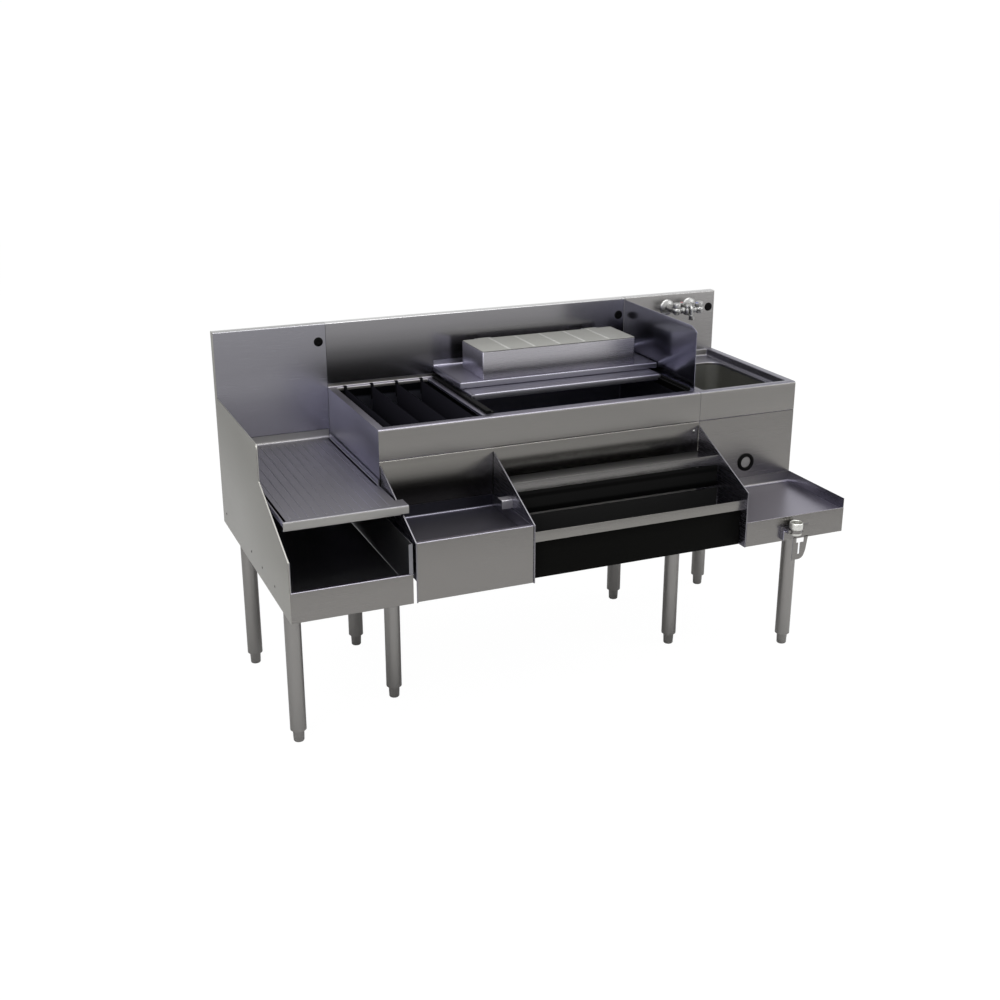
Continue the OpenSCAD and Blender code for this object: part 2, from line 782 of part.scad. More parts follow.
// Tube with a thick bottom ring that guides the foot stem.
module leg_tube(x, y) {
  difference() {
    post(x, y, foot_show + 1, leg_top, leg_d);
    post(x, y, foot_show + 21, leg_top - 3, leg_d - 3);
    post(x, y, foot_show - 1, foot_show + 60, 16.4);
  }
}

module leg_tubes_front() {
  color([0.52, 0.51, 0.5]) place() for (i = [0, 2, 4, 6]) leg_tube(leg_places[i][0], leg_places[i][1]);
}

module leg_tubes_back() {
  color([0.52, 0.51, 0.5]) place() for (i = [1, 3, 5, 7]) leg_tube(leg_places[i][0], leg_places[i][1]);
}

// Bullet foot on a stem that slides in the tube.
module foot(i) {
  color([0.6, 0.6, 0.6]) place() translate([leg_places[i][0], leg_places[i][1], 0]) rotate_extrude()
    polygon([
      [0, 0], [10, 0], [13, 4], [foot_d / 2, 14], [foot_d / 2, foot_show],
      [8, foot_show], [8, foot_show + 62], [0, foot_show + 62]]);
}

module foot_1() { foot(0); }
module foot_2() { foot(1); }
module foot_3() { foot(2); }
module foot_4() { foot(3); }
module foot_5() { foot(4); }
module foot_6() { foot(5); }
module foot_7() { foot(6); }
module foot_8() { foot(7); }

module case_screws() {
  color([0.2, 0.2, 0.2]) place() {
    for (y = [-45, -343, -458, -585]) bar_x(y, screw_z, 0, screw_h, screw_d);
    bar_y(1203, 655, body_y - 3, body_y, screw_d);
  }
}

end_panel_left();
end_panel_inner();
drainboard();
storage_tray();
backsplash_left();
backsplash_centre();
backsplash_right();
splash_plugs();
centre_deck();
centre_side_left();
centre_side_right();
centre_front_panel();
centre_underpan();
bin_liner();
well_liner();
insulation();
bin_drain();
bottle_dividers();
garnish_shelf();
cover_guides();
sliding_cover();
tray_box();
tray_pans();
tray_lid();
splash_guard();
sink_deck();
sink_bowl();
sink_drain();
drain_basket();
sink_frame();
faucet_body();
faucet_nuts();
faucet_spout();
hot_handle();
cold_handle();
sink_front_panel();
sink_side_right();
hose_grommet();
lower_shelf();
gun_holder();
gun_cup();
rail_plate_left();
rail_plate_mid();
rail_plate_right();
blender_shelf();
rail_tray_upper();
rail_tray_lower();
rail_bars();
leg_sockets();
leg_tubes_front();
leg_tubes_back();
foot_1();
foot_2();
foot_3();
foot_4();
foot_5();
foot_6();
foot_7();
foot_8();
case_screws();
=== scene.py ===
"""Looks of a stainless bar station: drainboard, bottle well, ice bin, bottle rails and sink.

Meshes are shaped in mm from the station's back left floor corner (x to the right, y negative
towards the front, z up) and moved into the row frame, in metres, when a piece is finished.
"""

import logging
import math
from dataclasses import astuple, dataclass, field
from enum import Enum
from typing import Sequence

import bmesh
import bpy
from mathutils import Matrix, Vector


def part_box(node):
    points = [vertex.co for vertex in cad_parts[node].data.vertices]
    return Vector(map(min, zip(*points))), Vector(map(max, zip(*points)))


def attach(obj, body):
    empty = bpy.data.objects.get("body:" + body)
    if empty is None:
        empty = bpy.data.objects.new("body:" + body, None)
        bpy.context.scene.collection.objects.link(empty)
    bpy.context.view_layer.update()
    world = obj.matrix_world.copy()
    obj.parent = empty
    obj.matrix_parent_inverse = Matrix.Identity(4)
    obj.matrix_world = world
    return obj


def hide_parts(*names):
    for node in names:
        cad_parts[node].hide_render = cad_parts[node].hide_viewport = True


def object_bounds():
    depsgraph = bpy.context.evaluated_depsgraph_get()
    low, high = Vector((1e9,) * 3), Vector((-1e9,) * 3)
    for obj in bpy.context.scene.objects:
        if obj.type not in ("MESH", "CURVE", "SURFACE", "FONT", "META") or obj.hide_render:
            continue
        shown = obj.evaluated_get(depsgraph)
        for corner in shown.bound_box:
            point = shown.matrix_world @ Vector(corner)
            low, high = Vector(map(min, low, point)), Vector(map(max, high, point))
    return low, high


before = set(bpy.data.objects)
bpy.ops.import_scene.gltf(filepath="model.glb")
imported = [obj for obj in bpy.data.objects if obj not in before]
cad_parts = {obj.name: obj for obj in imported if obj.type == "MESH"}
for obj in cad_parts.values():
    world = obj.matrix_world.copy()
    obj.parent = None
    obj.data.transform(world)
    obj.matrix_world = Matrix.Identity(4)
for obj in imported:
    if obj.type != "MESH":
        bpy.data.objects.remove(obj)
CAD_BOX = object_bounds()
MM = 0.001
SHEET = 1.5
HALF = SHEET / 2
LOG = logging.getLogger("station")
# Face normals, stored per face, pick the light and shade painted by facing; the two limits below set where
# it starts and where it is full.
FACING = "facing"
FACING_LEAST = 0.35
FACING_FULL = 0.9
GRAIN_DETAIL = 4.0
CLOUD_SCALE = 3.0
CLOUD_DETAIL = 2.0
CLOUD_SHARE = 0.35
SHEEN_SPREAD = 0.05
SHEEN_LEAST = 0.02
RELIEF_STRENGTH = 0.5
LIP_STEPS = 4
COVE_STEPS = 5
MERGE = 0.01
LATHE_MERGE = 0.001
SMOOTH_DEG = 35.0

Bend = tuple[float, float, float]
Colour = tuple[float, float, float]
Socket = bpy.types.NodeSocket


class Axis(Enum):
    """Direction along which a side outline is pulled."""

    X = "x"
    Y = "y"
    Z = "z"

    def place(self, a: float, b: float, along: float) -> Vector:
        """Point of a side outline, that far along the axis.

        Args:
            a: the outline's first value.
            b: its second value.
            along: the place along the axis.

        Returns:
            The point.
        """
        if self is Axis.X:
            return Vector((along, a, b))
        if self is Axis.Y:
            return Vector((a, along, b))
        return Vector((a, b, along))

    def turn(self) -> Matrix:
        """Rotation that stands the z axis on this axis.

        Returns:
            The rotation.
        """
        if self is Axis.X:
            return Matrix.Rotation(math.pi / 2, 4, "Y")
        if self is Axis.Y:
            return Matrix.Rotation(-math.pi / 2, 4, "X")
        return Matrix.Identity(4)


class Body(Enum):
    """Rigid bodies of the station, apart from the eight feet."""

    STATION = "station"
    SPOUT = "spout"
    HOT = "hot"
    COLD = "cold"
    COVER = "cover"
    LID = "lid"
    BASKET = "basket"
    CUP = "cup"


@dataclass(frozen=True)
class Span:
    """Box of a node in station mm.

    Attributes:
        x0: left side.
        x1: right side.
        y0: front side.
        y1: back side.
        z0: lower side.
        z1: upper side.
    """

    x0: float
    x1: float
    y0: float
    y1: float
    z0: float
    z1: float

    @property
    def mid_x(self) -> float:
        """Middle of the box along x."""
        return (self.x0 + self.x1) / 2

    @property
    def mid_y(self) -> float:
        """Middle of the box along y."""
        return (self.y0 + self.y1) / 2

    @property
    def mid_z(self) -> float:
        """Middle of the box along z."""
        return (self.z0 + self.z1) / 2


@dataclass(frozen=True)
class Site:
    """Where the station stands in the row frame, in metres.

    Attributes:
        left: its left outer face.
        back: its back face.
    """

    left: float
    back: float

    def span(self, node: str) -> Span:
        """Box of a CAD node in station mm.

        Args:
            node: the node's name.

        Returns:
            The node's box.
        """
        low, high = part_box(node)
        return Span(
            (low.x - self.left) / MM,
            (high.x - self.left) / MM,
            (low.y - self.back) / MM,
            (high.y - self.back) / MM,
            low.z / MM,
            high.z / MM,
        )

    def to_row(self) -> Matrix:
        """Matrix from station mm to the row frame."""
        return Matrix.Translation((self.left, self.back, 0.0)) @ Matrix.Scale(MM, 4)


SITE = Site(left=CAD_BOX[0][0], back=CAD_BOX[1][1])


# Finishes


@dataclass(frozen=True)
class Finish:
    """Finish with a faint mottle and a fine grain, and with light and shade painted into its colour by
    facing and by height.

    Attributes:
        name: the material's name.
        slot: the record's material slot.
        colour: base colour, linear.
        metallic: 0 for plastic, 1 for bare metal.
        roughness: middle roughness.
        mottle: how far the colour wanders, as a share.
        scale: size of the mottle, in waves per metre.
        bump: height of the fine texture, in metres.
        top: colour of faces that look up, if it differs; painted light and shade.
        side: colour of faces that look to the left, if it differs; painted light and shade.
        under: colour of faces that look down, if it differs; painted highlight.
        specular: level of a plastic's plain reflection.
        fade: (height, share) pairs, in metres: the colour's share at each height, as painted shade, painted
            reflections and painted highlight bands.
    """

    name: str
    slot: str
    colour: Colour
    metallic: float = 0.0
    roughness: float = 0.45
    mottle: float = 0.05
    scale: tuple[float, float, float] = (60.0, 60.0, 60.0)
    bump: float = 0.00002
    top: Colour | None = None
    side: Colour | None = None
    under: Colour | None = None
    specular: float = 0.5
    fade: tuple[tuple[float, float], ...] = ()

    def material(self) -> bpy.types.Material:
        """The finish as a material, made once.

        Returns:
            The material.
        """
        title = f"{self.name}_finish"
        known = bpy.data.materials.get(title)
        if known is not None:
            return known
        made = bpy.data.materials.new(title)
        made.use_nodes = True
        nodes, links = made.node_tree.nodes, made.node_tree.links
        shader = nodes["Principled BSDF"]
        shader.inputs["Metallic"].default_value = self.metallic
        shader.inputs["Specular IOR Level"].default_value = self.specular
        place = nodes.new("ShaderNodeTexCoord").outputs["Object"]
        grain, blend = self._mottled(made, place)
        tint = self._mix(made, self._shade(1.0 - self.mottle), self._shade(1.0 + self.mottle), blend)
        # Light and shade painted by facing.
        tint = self._paint_light_by_facing(made, tint)
        # Painted shade and painted reflections, by height.
        if self.fade:
            tint = self._paint_shade_by_height(made, place, tint)
        links.new(tint, shader.inputs["Base Color"])
        sheen = nodes.new("ShaderNodeMapRange")
        sheen.inputs["To Min"].default_value = max(self.roughness - SHEEN_SPREAD, SHEEN_LEAST)
        sheen.inputs["To Max"].default_value = self.roughness + SHEEN_SPREAD
        links.new(blend, sheen.inputs["Value"])
        links.new(sheen.outputs["Result"], shader.inputs["Roughness"])
        if self.bump > 0:
            relief = nodes.new("ShaderNodeBump")
            relief.inputs["Strength"].default_value = RELIEF_STRENGTH
            relief.inputs["Distance"].default_value = self.bump
            links.new(grain, relief.inputs["Height"])
            links.new(relief.outputs["Normal"], shader.inputs["Normal"])
        return made

    def _mottled(self, made: bpy.types.Material, place: Socket) -> tuple[Socket, Socket]:
        """Adds the grain, and its blend with a slow cloud.

        Args:
            made: the material.
            place: the place on the piece.

        Returns:
            The grain and the blend.
        """
        nodes, links = made.node_tree.nodes, made.node_tree.links
        stretch = nodes.new("ShaderNodeMapping")
        stretch.inputs["Scale"].default_value = self.scale
        links.new(place, stretch.inputs["Vector"])
        grain = nodes.new("ShaderNodeTexNoise")
        grain.inputs["Scale"].default_value = 1.0
        grain.inputs["Detail"].default_value = GRAIN_DETAIL
        links.new(stretch.outputs["Vector"], grain.inputs["Vector"])
        cloud = nodes.new("ShaderNodeTexNoise")
        cloud.inputs["Scale"].default_value = CLOUD_SCALE
        cloud.inputs["Detail"].default_value = CLOUD_DETAIL
        links.new(place, cloud.inputs["Vector"])
        blend = nodes.new("ShaderNodeMath")
        blend.operation = "MULTIPLY_ADD"
        blend.inputs[1].default_value = CLOUD_SHARE
        links.new(cloud.outputs["Fac"], blend.inputs[0])
        links.new(grain.outputs["Fac"], blend.inputs[2])
        return grain.outputs["Fac"], blend.outputs[0]

    def _paint_light_by_facing(self, made: bpy.types.Material, tint: Socket) -> Socket:
        """Paints light and shade by facing: recolours the faces that look to the left, down or up.

        Args:
            made: the material.
            tint: the colour of all other faces.

        Returns:
            The colour of every face.
        """
        ways = ((self.side, "X", -1.0), (self.under, "Z", -1.0), (self.top, "Z", 1.0))
        if not any(colour for colour, _, _ in ways):
            return tint
        nodes, links = made.node_tree.nodes, made.node_tree.links
        facing = nodes.new("ShaderNodeAttribute")
        facing.attribute_name = FACING
        parts = nodes.new("ShaderNodeSeparateXYZ")
        links.new(facing.outputs["Vector"], parts.inputs["Vector"])
        for colour, name, way in ways:
            if colour is None:
                continue
            share = nodes.new("ShaderNodeMapRange")
            share.inputs["From Min"].default_value = FACING_LEAST * way
            share.inputs["From Max"].default_value = FACING_FULL * way
            links.new(parts.outputs[name], share.inputs["Value"])
            tint = self._mix(made, tint, (*colour, 1.0), share.outputs["Result"])
        return tint

    def _paint_shade_by_height(self, made: bpy.types.Material, place: Socket, tint: Socket) -> Socket:
        """Paints shade by height: scales a colour by the shares of the heights.

        Args:
            made: the material.
            place: the place on the piece.
            tint: the colour.

        Returns:
            The scaled colour.
        """
        nodes, links = made.node_tree.nodes, made.node_tree.links
        parts = nodes.new("ShaderNodeSeparateXYZ")
        links.new(place, parts.inputs["Vector"])
        low, high = self.fade[0][0], self.fade[-1][0]
        height = nodes.new("ShaderNodeMapRange")
        height.inputs["From Min"].default_value = low
        height.inputs["From Max"].default_value = high
        links.new(parts.outputs["Z"], height.inputs["Value"])
        ramp = nodes.new("ShaderNodeValToRGB")
        stops = ramp.color_ramp.elements
        while len(stops) < len(self.fade):
            stops.new(0.5)
        for stop, (z, share) in zip(stops, self.fade):
            stop.position = (z - low) / (high - low)
            stop.color = (share, share, share, 1.0)
        links.new(height.outputs["Result"], ramp.inputs["Fac"])
        scale = nodes.new("ShaderNodeMix")
        scale.data_type = "RGBA"
        scale.blend_type = "MULTIPLY"
        scale.inputs["Factor"].default_value = 1.0
        links.new(tint, scale.inputs["A"])
        links.new(ramp.outputs["Color"], scale.inputs["B"])
        return scale.outputs["Result"]

    def _mix(
        self, made: bpy.types.Material, first: tuple | Socket, second: tuple, factor: Socket
    ) -> Socket:
        """Adds a mix of two colours.

        Args:
            made: the material.
            first: the first colour, plain or from another node.
            second: the second colour.
            factor: what sets the share of the second.

        Returns:
            The mixed colour.
        """
        mix = made.node_tree.nodes.new("ShaderNodeMix")
        mix.data_type = "RGBA"
        if isinstance(first, Socket):
            made.node_tree.links.new(first, mix.inputs["A"])
        else:
            mix.inputs["A"].default_value = first
        mix.inputs["B"].default_value = second
        made.node_tree.links.new(factor, mix.inputs["Factor"])
        return mix.outputs["Result"]

    def _shade(self, share: float) -> tuple[float, float, float, float]:
        """The colour times a share, with full alpha."""
        return (*(min(c * share, 1.0) for c in self.colour), 1.0)


FINE = 0.00001
BRUSH_X = (14.0, 900.0, 900.0)
BRUSH_Y = (900.0, 14.0, 900.0)
BRUSH_Z = (900.0, 900.0, 14.0)

FRONT = (0.205, 0.198, 0.19)
# Painted reflection: colour of faces that look up.
TOP_REFLECTION = (0.23, 0.22, 0.265)
# Lit copy of the steel: walls and faces that look to the left, painted lighter.
LIT_WALL = (0.42, 0.415, 0.55)
# Painted highlight on hems and edges that look down.
UNDER_HIGHLIGHT = (0.85, 0.85, 0.9)
# Painted highlight on the backsplash pans' top edges.
SPLASH_TOP_HIGHLIGHT = (0.45, 0.45, 0.45)
# Painted light: faces that look up and to the left get lighter, cooler colours.
STEEL = Finish(
    "steel_front", "steel_front", FRONT, 1.0, 0.24, 0.05, BRUSH_X, FINE,
    top=TOP_REFLECTION, side=(0.3, 0.295, 0.37),
)
# Lit copies of the steel: the end panel's outer face and the centre walls are painted lighter.
STEEL_SIDE = Finish("steel_side", "steel_front", (0.33, 0.325, 0.305), 1.0, 0.36, 0.05, BRUSH_Y, FINE)
STEEL_WALL = Finish("steel_wall", "steel_front", LIT_WALL, 1.0, 0.32, 0.05, BRUSH_Y, FINE)
# Painted reflection and shade: the panel darkens towards its lower edge, by height.
STEEL_PANEL = Finish(
    "steel_panel", "steel_front", (0.245, 0.237, 0.222), 1.0, 0.18, 0.05, BRUSH_X, FINE,
    fade=(
        (0.59, 0.18), (0.6, 0.19), (0.61, 0.25), (0.62, 0.36), (0.631, 0.56), (0.641, 0.72),
        (0.663, 0.95),
    ),
)
# Painted reflection of the rails: dark and light bands by height, on a lighter copy of the steel.
STEEL_PANEL_RAIL = Finish(
    "steel_panel_rail", "steel_front", (0.36, 0.348, 0.328), 1.0, 0.18, 0.05, BRUSH_X, FINE,
    fade=(
        (0.599, 0.8), (0.604, 0.6), (0.609, 0.4), (0.614, 0.3), (0.619, 0.27), (0.624, 0.4),
        (0.629, 0.75), (0.634, 1.0), (0.639, 0.8), (0.646, 0.68), (0.663, 0.62),
    ),
)
# Painted shade: a matte strip at the panel's foot, darker towards the bottom.
PANEL_FOOT_SHADE = Finish(
    "panel_foot_shade", "steel_front", (0.2, 0.195, 0.19), 0.0, 0.5, 0.05, BRUSH_X, 0.0,
    specular=0.1, fade=((0.572, 1.0), (0.578, 0.8), (0.584, 0.4), (0.591, 0.2), (0.598, 0.08)),
)
# Painted light and shade: left faces lighter, a slight darkening by height.
STEEL_PLATE = Finish(
    "steel_plate", "steel_front", (0.2, 0.195, 0.21), 1.0, 0.25, 0.02, BRUSH_Y, 0.0,
    side=(0.26, 0.255, 0.31), fade=((0.5, 0.95), (0.56, 0.85), (0.64, 1.0)),
)
# Painted reflection of the dark well, by height, and a painted highlight on the top edge.
STEEL_SPLASH = Finish(
    "steel_splash", "steel_front", (0.245, 0.24, 0.25), 1.0, 0.17, 0.04, BRUSH_X, 0.0,
    top=SPLASH_TOP_HIGHLIGHT,
    fade=((0.775, 0.62), (0.8, 0.46), (0.83, 0.45), (0.855, 0.6), (0.88, 0.87), (0.91, 1.0)),
)
# Lighter copy of the splash steel with painted shade, darker towards the top, and a painted highlight on
# the top edge.
STEEL_SPLASH_LEFT = Finish(
    "steel_splash_left", "steel_front", (0.355, 0.35, 0.385), 1.0, 0.24, 0.04, BRUSH_X, 0.0,
    top=SPLASH_TOP_HIGHLIGHT, fade=((0.66, 1.0), (0.72, 1.0), (0.82, 0.75), (0.94, 0.7)),
)
# Another lit copy of the splash steel, with a painted highlight on the top edge.
STEEL_SPLASH_RIGHT = Finish(
    "steel_splash_right", "steel_front", (0.28, 0.273, 0.27), 1.0, 0.24, 0.04, BRUSH_X, 0.0,
    top=SPLASH_TOP_HIGHLIGHT,
)
# Painted light: reflection on faces that look up, lighter walls, and a painted highlight on hems that look
# down.
STEEL_TOP = Finish(
    "steel_top", "steel_top", (0.23, 0.223, 0.213), 1.0, 0.3, 0.05, BRUSH_X, FINE,
    top=TOP_REFLECTION, side=LIT_WALL, under=UNDER_HIGHLIGHT,
)
# Painted shade on the sink's recess: faces that look up and left darker, and a painted highlight on hems
# that look down.
STEEL_SINK = Finish(
    "steel_sink", "steel_top", (0.23, 0.223, 0.213), 1.0, 0.34, 0.05, BRUSH_X, FINE,
    top=(0.195, 0.192, 0.23), side=(0.195, 0.192, 0.23), under=UNDER_HIGHLIGHT,
)
# Painted light: shelf and cover are lit copies of the steel, with lighter tops, lighter left faces and, on
# the cover, a lighter front.
STEEL_SHELF = Finish(
    "steel_shelf", "steel_top", (0.26, 0.257, 0.29), 1.0, 0.3, 0.05, BRUSH_X, FINE,
    top=(0.3, 0.29, 0.35), side=LIT_WALL,
)
STEEL_COVER = Finish(
    "steel_cover", "steel_top", (0.34, 0.335, 0.375), 1.0, 0.3, 0.05, BRUSH_X, FINE,
    top=(0.27, 0.262, 0.31), side=LIT_WALL,
)
# Lit copy with its left faces painted lighter.
STEEL_BOX = Finish(
    "steel_box", "steel_front", (0.32, 0.312, 0.335), 1.0, 0.26, 0.05, BRUSH_X, 0.0, side=(0.42, 0.41, 0.5)
)
# Painted light and shade: the board's surface darker, its left faces lighter.
STEEL_DRAIN = Finish(
    "steel_drain", "steel_top", (0.29, 0.285, 0.275), 1.0, 0.42, 0.05, BRUSH_Y, FINE,
    top=(0.165, 0.16, 0.178), side=LIT_WALL,
)
STEEL_INSIDE = Finish(
    "steel_inside", "steel_inside", (0.19, 0.19, 0.205), 1.0, 0.35, 0.08, BRUSH_X, FINE
)
# Painted shade: the well's steel darker, and darkest in a band just under the rim.
STEEL_WELL = Finish(
    "steel_well", "steel_inside", (0.115, 0.117, 0.15), 1.0, 0.35, 0.08, BRUSH_X, 0.0,
    fade=((0.727, 1.0), (0.734, 0.08)),
)
# Painted shade: the ice bin's steel darker.
STEEL_BIN = Finish("steel_bin", "steel_inside", (0.145, 0.144, 0.178), 1.0, 0.35, 0.08, BRUSH_X, FINE)
# Near black, with faces that look to the left painted a little lighter.
DIVIDER = Finish(
    "divider_steel", "steel_inside", (0.004, 0.004, 0.005), 0.0, 0.5, 0.08, BRUSH_Y, 0.0,
    side=(0.016, 0.0155, 0.021), specular=0.0,
)
# Lit copy: the bowl's steel painted lighter than the rest.
STEEL_BOWL = Finish("steel_bowl", "steel_inside", (0.345, 0.345, 0.325), 1.0, 0.36, 0.06, BRUSH_X, FINE)
STEEL_BAR = Finish("steel_bar", "steel_front", (0.205, 0.199, 0.188), 1.0, 0.25, 0.06, BRUSH_X, FINE)
# Lit copy: the bracket painted lighter, as a highlight.
BRACKET = Finish("bracket_steel", "steel_front", (0.45, 0.44, 0.46), 1.0, 0.38, 0.05, BRUSH_X, 0.0)
# Shaded copy of the bar steel, with painted shade towards its top.
STEEL_BAR_UPPER = Finish(
    "steel_bar_upper", "steel_front", (0.175, 0.17, 0.167), 1.0, 0.25, 0.06, BRUSH_X, FINE,
    fade=((0.612, 1.0), (0.62, 0.75)),
)
# Painted shade: the tray near black on faces that look forward, lighter on its floor and left faces.
SHELF_SHADE = Finish(
    "shelf_shade", "steel_inside", (0.035, 0.035, 0.042), 1.0, 0.3, 0.08, BRUSH_X, FINE,
    top=(0.215, 0.208, 0.253), side=(0.2, 0.193, 0.235),
)
# Painted highlight bands at the rail's folds and painted shade on faces that look up, over a near-black
# colour.
RAIL_UPPER = Finish(
    "rail_upper", "steel_inside", (0.008, 0.008, 0.008), 0.0, 0.5, 0.15, BRUSH_X, FINE,
    top=(0.002, 0.002, 0.002), specular=0.04,
    fade=(
        (0.536, 0.1), (0.543, 0.15), (0.549, 1.0), (0.571, 0.95), (0.575, 0.3), (0.581, 0.3),
        (0.586, 1.0),
    ),
)
# Faces that look up painted darker, as shade.
RAIL_LOWER = Finish(
    "rail_lower", "steel_inside", (0.014, 0.014, 0.014), 0.0, 0.5, 0.15, BRUSH_X, FINE,
    top=(0.002, 0.002, 0.002), specular=0.03,
)
RAIL_FRONT = Finish(
    "rail_front", "steel_inside", (0.0035, 0.0035, 0.0032), 0.0, 0.5, 0.15, BRUSH_X, FINE, specular=0.02
)
STEEL_LEG = Finish("steel_leg", "leg_steel", (0.25, 0.243, 0.235), 1.0, 0.34, 0.05, BRUSH_Z, FINE)
POLISHED = Finish("polished_steel", "polished_steel", (0.235, 0.235, 0.3), 1.0, 0.2, 0.03, BRUSH_Z, 0.0)
CHROME = Finish("chrome", "chrome", (0.34, 0.34, 0.335), 1.0, 0.3, 0.03)
BRASS = Finish("brass", "brass", (0.5, 0.36, 0.16), 1.0, 0.3, 0.1)
BLACK = Finish("black_plastic", "black_plastic", (0.0015, 0.0015, 0.0015), 0.0, 0.5, 0.15, specular=0.06)
PAN = Finish("pan_plastic", "pan_plastic", (0.1, 0.1, 0.1), 0.0, 0.45, 0.1)
# Painted light: the lid's top lighter than its sides.
LID = Finish("lid_plastic", "lid_plastic", (0.12, 0.118, 0.114), 0.0, 0.45, 0.05, top=(0.228, 0.228, 0.212))
# Painted highlight: the ribs are a lighter copy of the lid's plastic.
LID_RIB = Finish("lid_rib", "lid_plastic", (0.36, 0.36, 0.345), 0.0, 0.35, 0.05)
FOAM = Finish("foam", "foam", (0.75, 0.66, 0.4), 0.0, 0.85, 0.15, (400.0, 400.0, 400.0), 0.0004)
CUP = Finish("cup_metal", "cup_metal", (0.6, 0.6, 0.57), 1.0, 0.35, 0.05)
SCREW = Finish("screw_steel", "screw_steel", (0.03, 0.03, 0.03), 1.0, 0.35, 0.1)
RED = Finish("hot_index", "black_plastic", (0.3, 0.03, 0.05), 0.0, 0.35, 0.05)
BLUE = Finish("cold_index", "black_plastic", (0.03, 0.05, 0.35), 0.0, 0.35, 0.05)


# Shaping


def bent_path(corners: Sequence[Bend], steps: int = 5) -> list[Vector]:
    """Line through the corners with each one rounded.

    Args:
        corners: (a, b, radius) of each corner, in order.
        steps: number of short lines in each bend.

    Returns:
        The points of the line.
    """
    points: list[Vector] = []
    last = len(corners) - 1
    for index, (a, b, radius) in enumerate(corners):
        here = Vector((a, b))
        if index in (0, last) or radius <= 0:
            points.append(here)
            continue
        before = (Vector(corners[index - 1][:2]) - here).normalized()
        after = (Vector(corners[index + 1][:2]) - here).normalized()
        turn = before.angle(after) / 2
        centre = here + (before + after).normalized() * (radius / math.sin(turn))
        start = here + before * (radius / math.tan(turn)) - centre
        end = here + after * (radius / math.tan(turn)) - centre
        sweep = start.angle(end)
        for step in range(steps + 1):
            share = step / steps
            mixed = start * math.sin((1 - share) * sweep) + end * math.sin(share * sweep)
            points.append(centre + mixed / math.sin(sweep))
    return points


def sheet_outline(path: Sequence[Vector], thick: float) -> list[Vector]:
    """Closed outline of a sheet whose middle runs along a line.

    Args:
        path: the points of the line.
        thick: the sheet's thickness.

    Returns:
        The outline's points, once around.
    """
    normals = []
    for here, there in zip(path, path[1:]):
        way = (there - here).normalized()
        normals.append(Vector((-way.y, way.x)))
    left, right = [], []
    for index, here in enumerate(path):
        first = normals[max(index - 1, 0)]
        second = normals[min(index, len(normals) - 1)]
        out = (first + second) / (1 + first.dot(second)) * (thick / 2)
        left.append(here + out)
        right.append(here - out)
    return left + right[::-1]


def round_loop(x0: float, x1: float, y0: float, y1: float, radius: float, z: float) -> list[Vector]:
    """Rounded rectangle at a height, as one loop of points.

    Args:
        x0: left side.
        x1: right side.
        y0: front side.
        y1: back side.
        radius: corner radius.
        z: height.

    Returns:
        The points, once around.
    """
    steps = 5
    corners = (
        (x1 - radius, y1 - radius, 0.0), (x0 + radius, y1 - radius, 90.0),
        (x0 + radius, y0 + radius, 180.0), (x1 - radius, y0 + radius, 270.0),
    )
    points = []
    for corner_x, corner_y, start in corners:
        for step in range(steps + 1):
            turn = math.radians(start + 90.0 * step / steps)
            points.append(
                Vector((corner_x + radius * math.cos(turn), corner_y + radius * math.sin(turn), z))
            )
    return points


